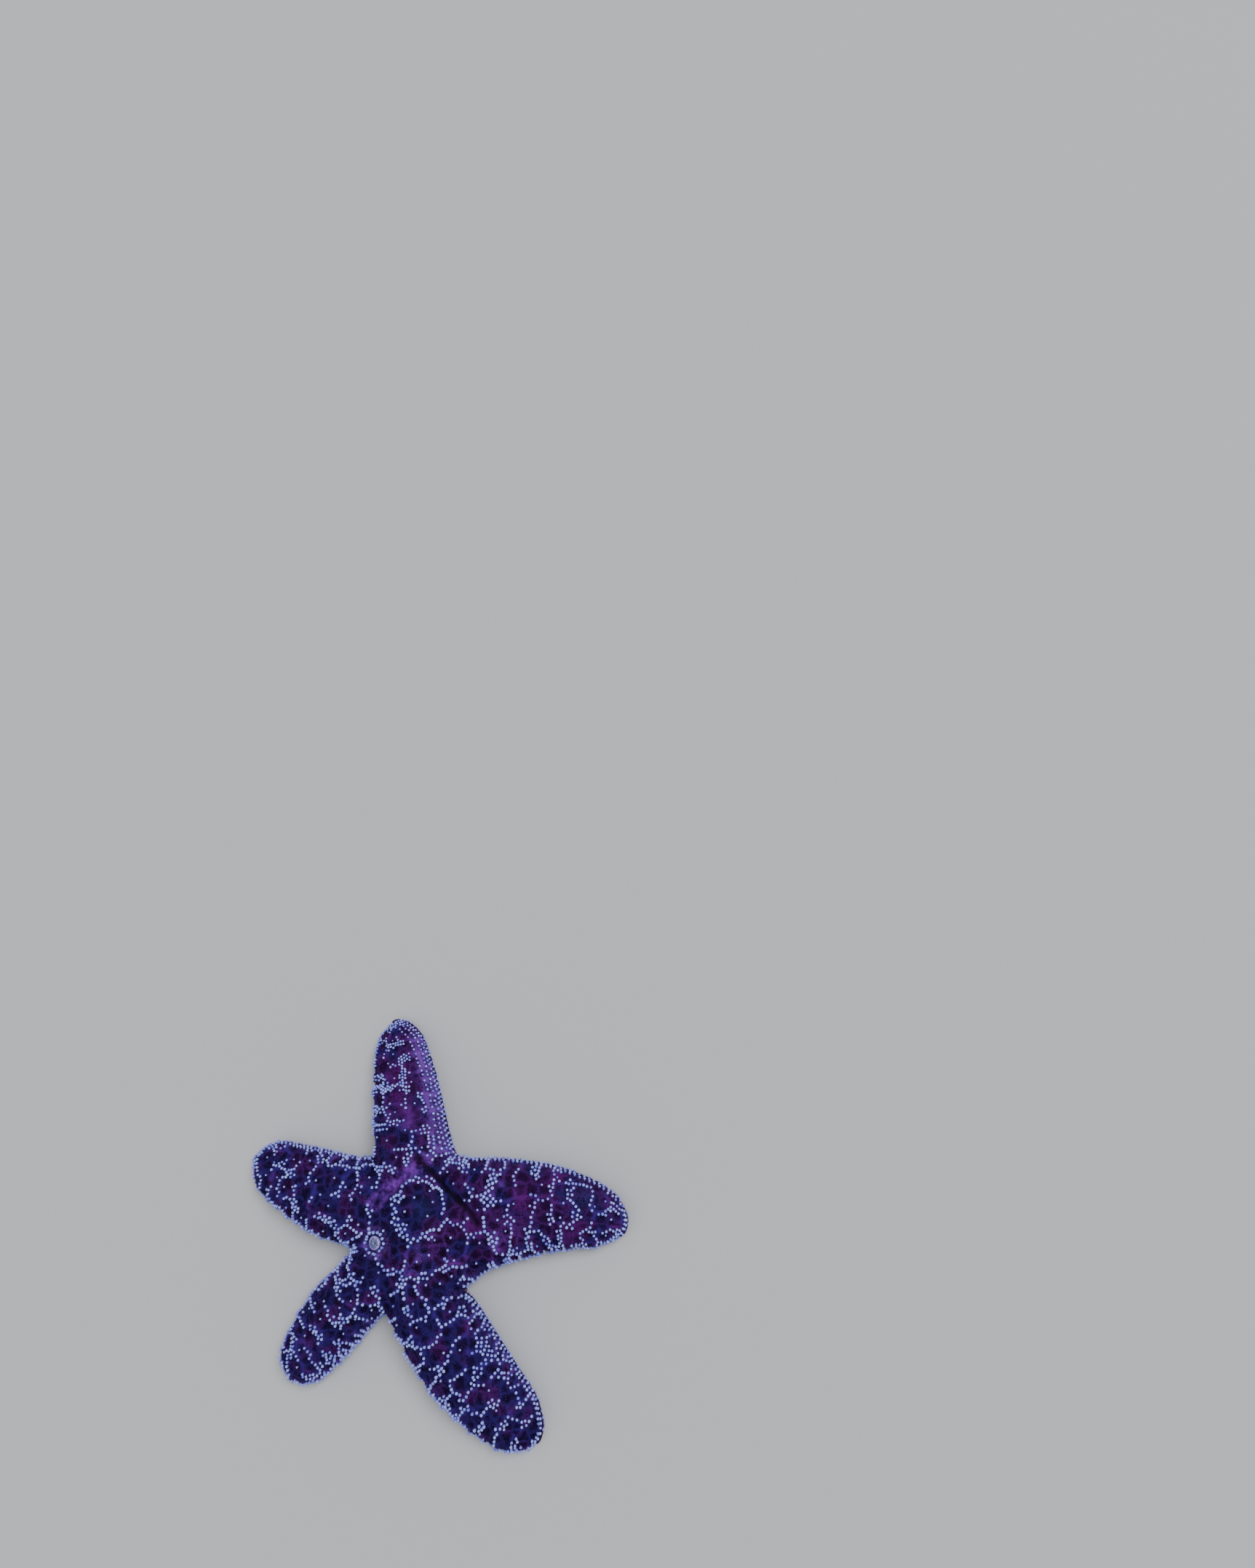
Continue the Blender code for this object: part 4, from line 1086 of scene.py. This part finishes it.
# Tips in the pink band take its pink, partly a painted sheen, and the feet take the skin's colour with its
# painted sheen and painted shade
pinkness = add(tree, "ShaderNodeMapRange", {"Value": pinkness, "From Min": 0.1, "To Max": 0.85})
top = add(tree, "ShaderNodeMix", {"Factor": pinkness, "A": top, "B": SHEEN_PINKS[1]}, data_type="RGBA")
foot = add(tree, "ShaderNodeMapRange", {"Value": share, "From Min": 0.25, "From Max": 0.7})
colour = add(tree, "ShaderNodeMix", {"Factor": foot, "A": top, "B": skin_colour(tree)[0]}, data_type="RGBA")
feed(tree, surface, {"Base Color": colour})

patchy = noise_at(skin, *GILL_PATCH) + 0.5 * pink_sheen_band + 0.3 * deep > -0.3
open_skin = (from_edge > GILL_FROM_EDGE) & (from_tip > GILL_FROM_TIP) & (from_ridge > GILL_FROM_RIDGE * scale)
order = np.where(patchy & open_skin & ~bare)[0]
dice.shuffle(order)
gill_roots = np.array(spaced(order, GILL_GAP * between(GILL_GAPS, sparse), lone_roots))
gill_tree = turned_tree("turned gill", GILL_PROFILE, 6, gill_material)
gill_sizes = {"Radius": GILL_RADIUS, "Height": GILL_HEIGHT, "Foot depth": GILL_FOOT, "Unevenness": 0.0001}
for number, name in enumerate(ARMS):
    at = gill_roots[arm_number[gill_roots] == number]
    tone = uneven(skin[at], 0.5, GILL_TONES) + dice.normal(0, 0.2, len(at))
    facts = {"size": dice.uniform(*GILL_SIZES, len(at)), "root": root_at[at], "tone": np.clip(tone, 0, 1)}
    facts["stand"] = skin_normals[at] + dice.normal(0, GILL_LEAN, (len(at), 3))
    facts |= {label: values[at] for label, values in marks.items()}
    shift = dice.normal(0, GILL_SHIFT, (len(at), 3))
    gills = grown(f"gills_{name}", gill_tree, gill_sizes, skin[at] + shift, facts)
    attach(gills, "root")

# ------------------------------------------------------------------------------------------------------------
# Tube feet. Soft hollow stalks in four rows along each furrow, each ending in a round sucker. They hang from
# the furrow's roof and just reach the ground.

FOOT_RADIUS = 0.00095
FOOT_HEIGHT = 0.006
FOOT_LEAN = 0.06
FEET_PITCH = 0.0024
FEET_PITCH_AT_TIP = 0.7                    # of that
FEET_ACROSS = (-0.74, -0.28, 0.28, 0.74)   # of the furrow's half width
OUTER_ROOF = 0.86                          # the roof is lower over the outer rows
FEET_FROM = 0.0135
FEET_SHORT_OF_TIP = 0.0062
FOOT_CLEARANCE = 0.0004
FOOT_RINGS = 70.0                          # of a stalk, in radians from its top to its foot
FOOT_PROFILE = (
    (0.0, 0.0, 0.93), (0.14, 0.55, 0.96), (0.3, 1.0, 1.0), (0.42, 0.92, 0.9),
    (0.55, 0.52, 0.78), (0.7, 0.56, 0.45), (0.86, 0.64, 0.05), (1.0, 0.0, 0.0),
)

# Soft muscle under thin wet skin, grown: amber stalks with fine rings where they shorten, and paler suckers
foot_gloss = {"Roughness": 0.4, "Coat Weight": 0.2, "Coat Roughness": 0.16}
foot_material, tree, surface = new_material("soft muscle of a tube foot", foot_gloss)
share, tone = (
    add(tree, "ShaderNodeAttribute", attribute_name=name).outputs["Fac"] for name in ("share", "tone")
)
stalk = add(tree, "ShaderNodeMapRange", {"Value": share, "From Min": 0.3, "From Max": 0.6})
amber = add(tree, "ShaderNodeMix", {"Factor": tone, "A": "#C79A6E", "B": "#B98A78"}, data_type="RGBA")
colour = add(tree, "ShaderNodeMix", {"Factor": stalk, "A": "#E3CFA8", "B": amber}, data_type="RGBA")
rings = add(tree, "ShaderNodeMath", {0: share, 1: FOOT_RINGS}, operation="MULTIPLY")
rings = add(tree, "ShaderNodeMath", {0: rings}, operation="SINE")
rings = add(tree, "ShaderNodeBump", {"Height": rings, "Distance": 0.00012})
feed(tree, surface, {"Base Color": colour, "Normal": rings})

foot_tree = turned_tree("turned tube foot", FOOT_PROFILE, 8, foot_material)
foot_sizes = {"Radius": FOOT_RADIUS, "Height": FOOT_HEIGHT, "Foot depth": 0.0002, "Unevenness": 0.0002}
for number, (name, arm) in enumerate(arms.items()):
    places = []
    for k, share in enumerate(FEET_ACROSS):
        distance = FEET_FROM + FEET_PITCH * (k % 2) / 2
        while distance < arm.length - FEET_SHORT_OF_TIP:
            along = distance / arm.length
            point, left = arm.place(distance)
            half = furrow_half_width(along)
            roof = between(FURROW_DEPTH, along) * (1 if abs(share) < 0.5 else OUTER_ROOF) + SOLE_COAT_DEPTH
            places.append((*(point + left * share * half), roof))
            distance += FEET_PITCH * between((1, FEET_PITCH_AT_TIP), along)
    places = np.array(places)
    count = len(places)
    stands = np.column_stack([dice.normal(0, FOOT_LEAN, (count, 2)), -np.ones(count)])
    facts = {"size": (places[:, 2] - FOOT_CLEARANCE) / FOOT_HEIGHT, "stand": stands}
    facts["tone"] = dice.random(count)
    # They have no root on the skin's back or sole, so their patches lie in one row of their own
    facts["root"] = np.column_stack([np.linspace(0.02, 0.98, count), np.full(count, 0.5), np.zeros(count)])
    feet = grown(f"tube_feet_of_{name}", foot_tree, foot_sizes, places, facts)
    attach(feet, "root")
    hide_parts(f"tube_feet_{number + 1}")

# ------------------------------------------------------------------------------------------------------------
# Sieve plate. A round button of lime on the disc, cut by fine branching furrows, that lets water into the
# animal's pipes. It grows in the skin of the back.

SIEVE_RADIUS = 0.0038
SIEVE_RISE = 0.0013
SIEVE_FALL = (0.92, 3.2)           # how far its face falls to the rim, and how late
SIEVE_BACK = -0.0012
SIEVE_FURROWS = 17
SIEVE_FURROW_DEPTH = 0.0003
SIEVE_FURROW_WALL = (0.05, 0.6)    # of the wave that cuts them: where it cuts in, and over what range
SIEVE_BRANCHES = (0.0011, 5.5, 11)   # size, strength and seed of the bends that make them branch
SIEVE_HUB = 0.0004                 # uncut in the middle
SIEVE_CUT_END = (0.72, 0.14)       # shares of the radius: where the cuts start to fade, and how wide
SIEVE_RIM = (0.62, 0.2)            # the same of where the smooth rim starts
SIEVE_CLOUD = 0.0014               # metres from one cloud of its colour to the next
SIEVE_GRID = (26, 84)              # rings and points round each
BACK_SHARE = 0.96                  # of a round piece's radius, in its flat back


def sieve_furrows(x, y):
    """1 along the branching furrows, 0 on the walls between them and at the rim."""
    far, turn = np.hypot(x, y), np.arctan2(y, x)
    bend = uneven(np.column_stack([x, y, np.zeros_like(x)]), 0, SIEVE_BRANCHES)
    wave = smooth_step(np.cos(turn * SIEVE_FURROWS + bend), *SIEVE_FURROW_WALL)
    within = 1 - smooth_step(far / SIEVE_RADIUS, *SIEVE_CUT_END)
    return wave * smooth_step(far, SIEVE_HUB, SIEVE_HUB) * within


def sieve_height(x, y):
    dome = np.sqrt(np.maximum(1 - SIEVE_FALL[0] * (np.hypot(x, y) / SIEVE_RADIUS) ** SIEVE_FALL[1], 0))
    return SIEVE_RISE * dome - SIEVE_FURROW_DEPTH * sieve_furrows(x, y)


def sieve_facts(x, y):
    return {"rim": smooth_step(np.hypot(x, y) / SIEVE_RADIUS, *SIEVE_RIM), "cut": sieve_furrows(x, y)}


def round_piece(name, material, place, up, radius, grid, height_at, back, facts_at):
    """A round piece on an axis: a formed face over a flat back, closed at its rim."""
    rings, around = grid
    turns = np.arange(around) * 2 * math.pi / around
    far, turn = np.meshgrid(np.linspace(0, radius, rings + 1)[1:], turns, indexing="ij")
    x, y = (np.append((far * wave(turn)).ravel(), 0) for wave in (np.cos, np.sin))
    face = np.column_stack([x, y, height_at(x, y)])
    rim = face[-around - 1 : -1] * (BACK_SHARE, BACK_SHARE, 0) + (0, 0, back)
    local = np.concatenate([face, rim, [(0, 0, back)]])
    middle, base = rings * around, rings * around + 1
    laid = []
    for i in range(around):
        j = (i + 1) % around
        laid += [(middle, i, j), (base + j, base + i, base + around)]
        laid += [(a + i, a + around + i, a + around + j, a + j) for a in range(0, middle - around, around)]
        laid.append((middle - around + i, base + i, base + j, middle - around + j))
    tilt = Vector(up).to_track_quat("Z", "X")
    placed = [Vector(place) + tilt @ Vector(point) for point in local]
    return new_piece(name, placed, laid, material, facts_at(local[:, 0], local[:, 1]))


# Bare lime, grown: matt, slate-blue in its furrowed middle, with a smooth lilac rim
sieve_gloss = {"Roughness": 0.5, "Specular IOR Level": 0.3}
sieve_material, tree, surface = new_material("lime sieve plate", sieve_gloss)
place = add(tree, "ShaderNodeTexCoord").outputs["Object"]
rim, cut = (
    add(tree, "ShaderNodeAttribute", attribute_name=name).outputs["Fac"] for name in ("rim", "cut")
)
cloud = add(tree, "ShaderNodeTexNoise", {"Vector": place, "Scale": 1 / SIEVE_CLOUD})
cloud = add(tree, "ShaderNodeMapRange", {"Value": cloud, "From Min": 0.4, "From Max": 0.6})
lilac = add(tree, "ShaderNodeMix", {"Factor": cloud, "A": "#8A7CC2", "B": "#A99DD8"}, data_type="RGBA")
slate = add(tree, "ShaderNodeMix", {"Factor": cloud, "A": "#56628E", "B": "#7C83B4"}, data_type="RGBA")
colour = add(tree, "ShaderNodeMix", {"Factor": rim, "A": slate, "B": lilac}, data_type="RGBA")
colour = add(tree, "ShaderNodeMix", {"Factor": cut, "A": colour, "B": "#2B2150"}, data_type="RGBA")
feed(tree, surface, {"Base Color": colour})

seat = skin_near(sieve_centre)
sieve = round_piece(
    "sieve_plate", sieve_material, skin[seat], outward[seat],
    SIEVE_RADIUS, SIEVE_GRID, sieve_height, SIEVE_BACK, sieve_facts,
)
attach(sieve, "root")
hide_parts("madreporite")

# ------------------------------------------------------------------------------------------------------------
# Mouth skin. A soft round curtain in the middle of the sole, gathered in folds to the mouth at its centre. It
# is grown to the rim of the skin round it.

CURTAIN_RADIUS = MOUTH_RADIUS * 0.99
CURTAIN_TOP = 0.0083
CURTAIN_HANG = (0.0016, 0.0022)    # below its flat back at its rim, and how much more in its middle
CURTAIN_CLOUD = 0.002      # metres from one cloud of its colour to the next
CURTAIN_GRAIN = (0.0007, 0.00015)  # size and height
CURTAIN_GRID = (22, 120)
MOUTH_FOLDS = 15
FOLD_HEIGHT = 0.00028
FOLD_START = 0.002         # from the centre
LIP_RADIUS = 0.0019
LIP_WIDTH = 0.0012
LIP_HEIGHT = 0.0009
MOUTH_OPENING_DEPTH = 0.0028


def mouth_opening(x, y):
    """1 in the middle of the mouth, 0 outside its lip."""
    return 1 - smooth_step(np.hypot(x, y) / LIP_RADIUS)


def mouth_height(x, y):
    """How far the curtain hangs down from its flat back."""
    far, turn = np.hypot(x, y), np.arctan2(y, x)
    inward = smooth_step(1 - far / MOUTH_RADIUS)
    lip = np.exp(-(((far - LIP_RADIUS) / LIP_WIDTH) ** 2))
    folds = np.cos(turn * MOUTH_FOLDS + 2 * np.sin(turn * 2)) * smooth_step(far / FOLD_START)
    hang = CURTAIN_HANG[0] + CURTAIN_HANG[1] * inward + LIP_HEIGHT * lip
    hang -= MOUTH_OPENING_DEPTH * mouth_opening(x, y)
    return hang + FOLD_HEIGHT * folds * (1 - 0.6 * far / MOUTH_RADIUS)


# Thin soft skin, grown: warm and pale, finely pebbled, darker in the mouth
mouth_gloss = {"Roughness": 0.4, "Coat Weight": 0.2, "Coat Roughness": 0.16}
mouth_material, tree, surface = new_material("soft skin round the mouth", mouth_gloss)
place = add(tree, "ShaderNodeTexCoord").outputs["Object"]
opening = add(tree, "ShaderNodeAttribute", attribute_name="opening").outputs["Fac"]
cloud = add(tree, "ShaderNodeTexNoise", {"Vector": place, "Scale": 1 / CURTAIN_CLOUD})
cloud = add(tree, "ShaderNodeMapRange", {"Value": cloud, "From Min": 0.35, "From Max": 0.65})
colour = add(tree, "ShaderNodeMix", {"Factor": cloud, "A": "#C9A08A", "B": "#E0C0A4"}, data_type="RGBA")
colour = add(tree, "ShaderNodeMix", {"Factor": opening, "A": colour, "B": "#5A2C2E"}, data_type="RGBA")
grained(tree, surface, colour, *CURTAIN_GRAIN)

mouth = round_piece(
    "mouth_skin", mouth_material, (0, 0, CURTAIN_TOP), (0, 0, -1),
    CURTAIN_RADIUS, CURTAIN_GRID, mouth_height, 0, lambda x, y: {"opening": mouth_opening(x, y)},
)
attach(mouth, "root")
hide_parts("mouth")

# ------------------------------------------------------------------------------------------------------------
# Eyespots. A red cushion of light-sensing cells under the very end of each arm, held in the end of the furrow
# for the feet. Soft and wet, it is a cluster of tiny beads of pigment.

PIGMENT_BEAD = 0.0003
PIGMENT_BEAD_HEIGHT = 0.00012

eyespot_gloss = {"Roughness": 0.35, "Coat Weight": 0.3, "Coat Roughness": 0.16}
eyespot_material, tree, surface = new_material("pigment cushion", eyespot_gloss)
place = add(tree, "ShaderNodeTexCoord").outputs["Object"]
beads = add(tree, "ShaderNodeTexVoronoi", {"Vector": place, "Scale": 1 / PIGMENT_BEAD}).outputs["Distance"]
colour = add(tree, "ShaderNodeMix", {"Factor": beads, "A": "#D2402A", "B": "#8E1610"}, data_type="RGBA")
grain = add(tree, "ShaderNodeMath", {0: beads, 1: -1.0}, operation="MULTIPLY")
grain = add(tree, "ShaderNodeBump", {"Height": grain, "Distance": PIGMENT_BEAD_HEIGHT})
feed(tree, surface, {"Base Color": colour, "Normal": grain})
for number in range(len(arms)):
    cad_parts[f"eyespot_{number + 1}"].data.materials[0] = eyespot_material

# ------------------------------------------------------------------------------------------------------------
# Studio. A pale matt floor, a soft main light from the right that leans over the back, a weaker one from the
# left, and an even pale room that lights every side.

FLOOR_HALF = 60            # metres from its middle to its edge
CAMERA_PLACE = Vector((0.22763, 0.11172, 0.57178))
CAMERA_RIGHT = Vector((0.98177, 0.0, -0.19008))
CAMERA_BACK = Vector((0.18414, -0.24796, 0.95111))
CAMERA_LENS = 21.6

floor_material, tree, surface = new_material("pale matt floor", {"Base Color": "#BABBBD", "Roughness": 0.9})
floor_mesh = bpy.data.meshes.new("floor")
floor_corners = [(x * FLOOR_HALF, y * FLOOR_HALF, 0) for x, y in ((-1, -1), (1, -1), (1, 1), (-1, 1))]
floor_mesh.from_pydata(floor_corners, [], [(0, 1, 2, 3)])
floor_mesh.materials.append(floor_material)
floor = bpy.data.objects.new("floor", floor_mesh)
bpy.context.collection.objects.link(floor)

pale_room = bpy.data.worlds.new("pale room")
pale_room.use_nodes = True
feed(pale_room.node_tree, pale_room.node_tree.nodes["Background"], {"Color": "#F4F7FC", "Strength": 0.62})
bpy.context.scene.world = pale_room

# Direction towards the light, strength, and how wide it looks in degrees
for name, towards, strength, width in (
    ("main light", (0.62, 0.48, 1.0), 2.3, 30),
    ("left light", (-0.9, -0.3, 0.8), 0.5, 60),
):
    light = bpy.data.lights.new(name, "SUN")
    light.energy = strength
    light.angle = math.radians(width)
    lamp = bpy.data.objects.new(name, light)
    lamp.rotation_euler = Vector(towards).to_track_quat("Z", "Y").to_euler()
    bpy.context.collection.objects.link(lamp)

lens = bpy.data.cameras.new("camera")
lens.lens = CAMERA_LENS
camera = bpy.data.objects.new("camera", lens)
turn = Matrix((CAMERA_RIGHT, CAMERA_BACK.cross(CAMERA_RIGHT), CAMERA_BACK)).transposed()
camera.matrix_world = Matrix.Translation(CAMERA_PLACE) @ turn.to_4x4()
bpy.context.collection.objects.link(camera)
bpy.context.scene.camera = camera
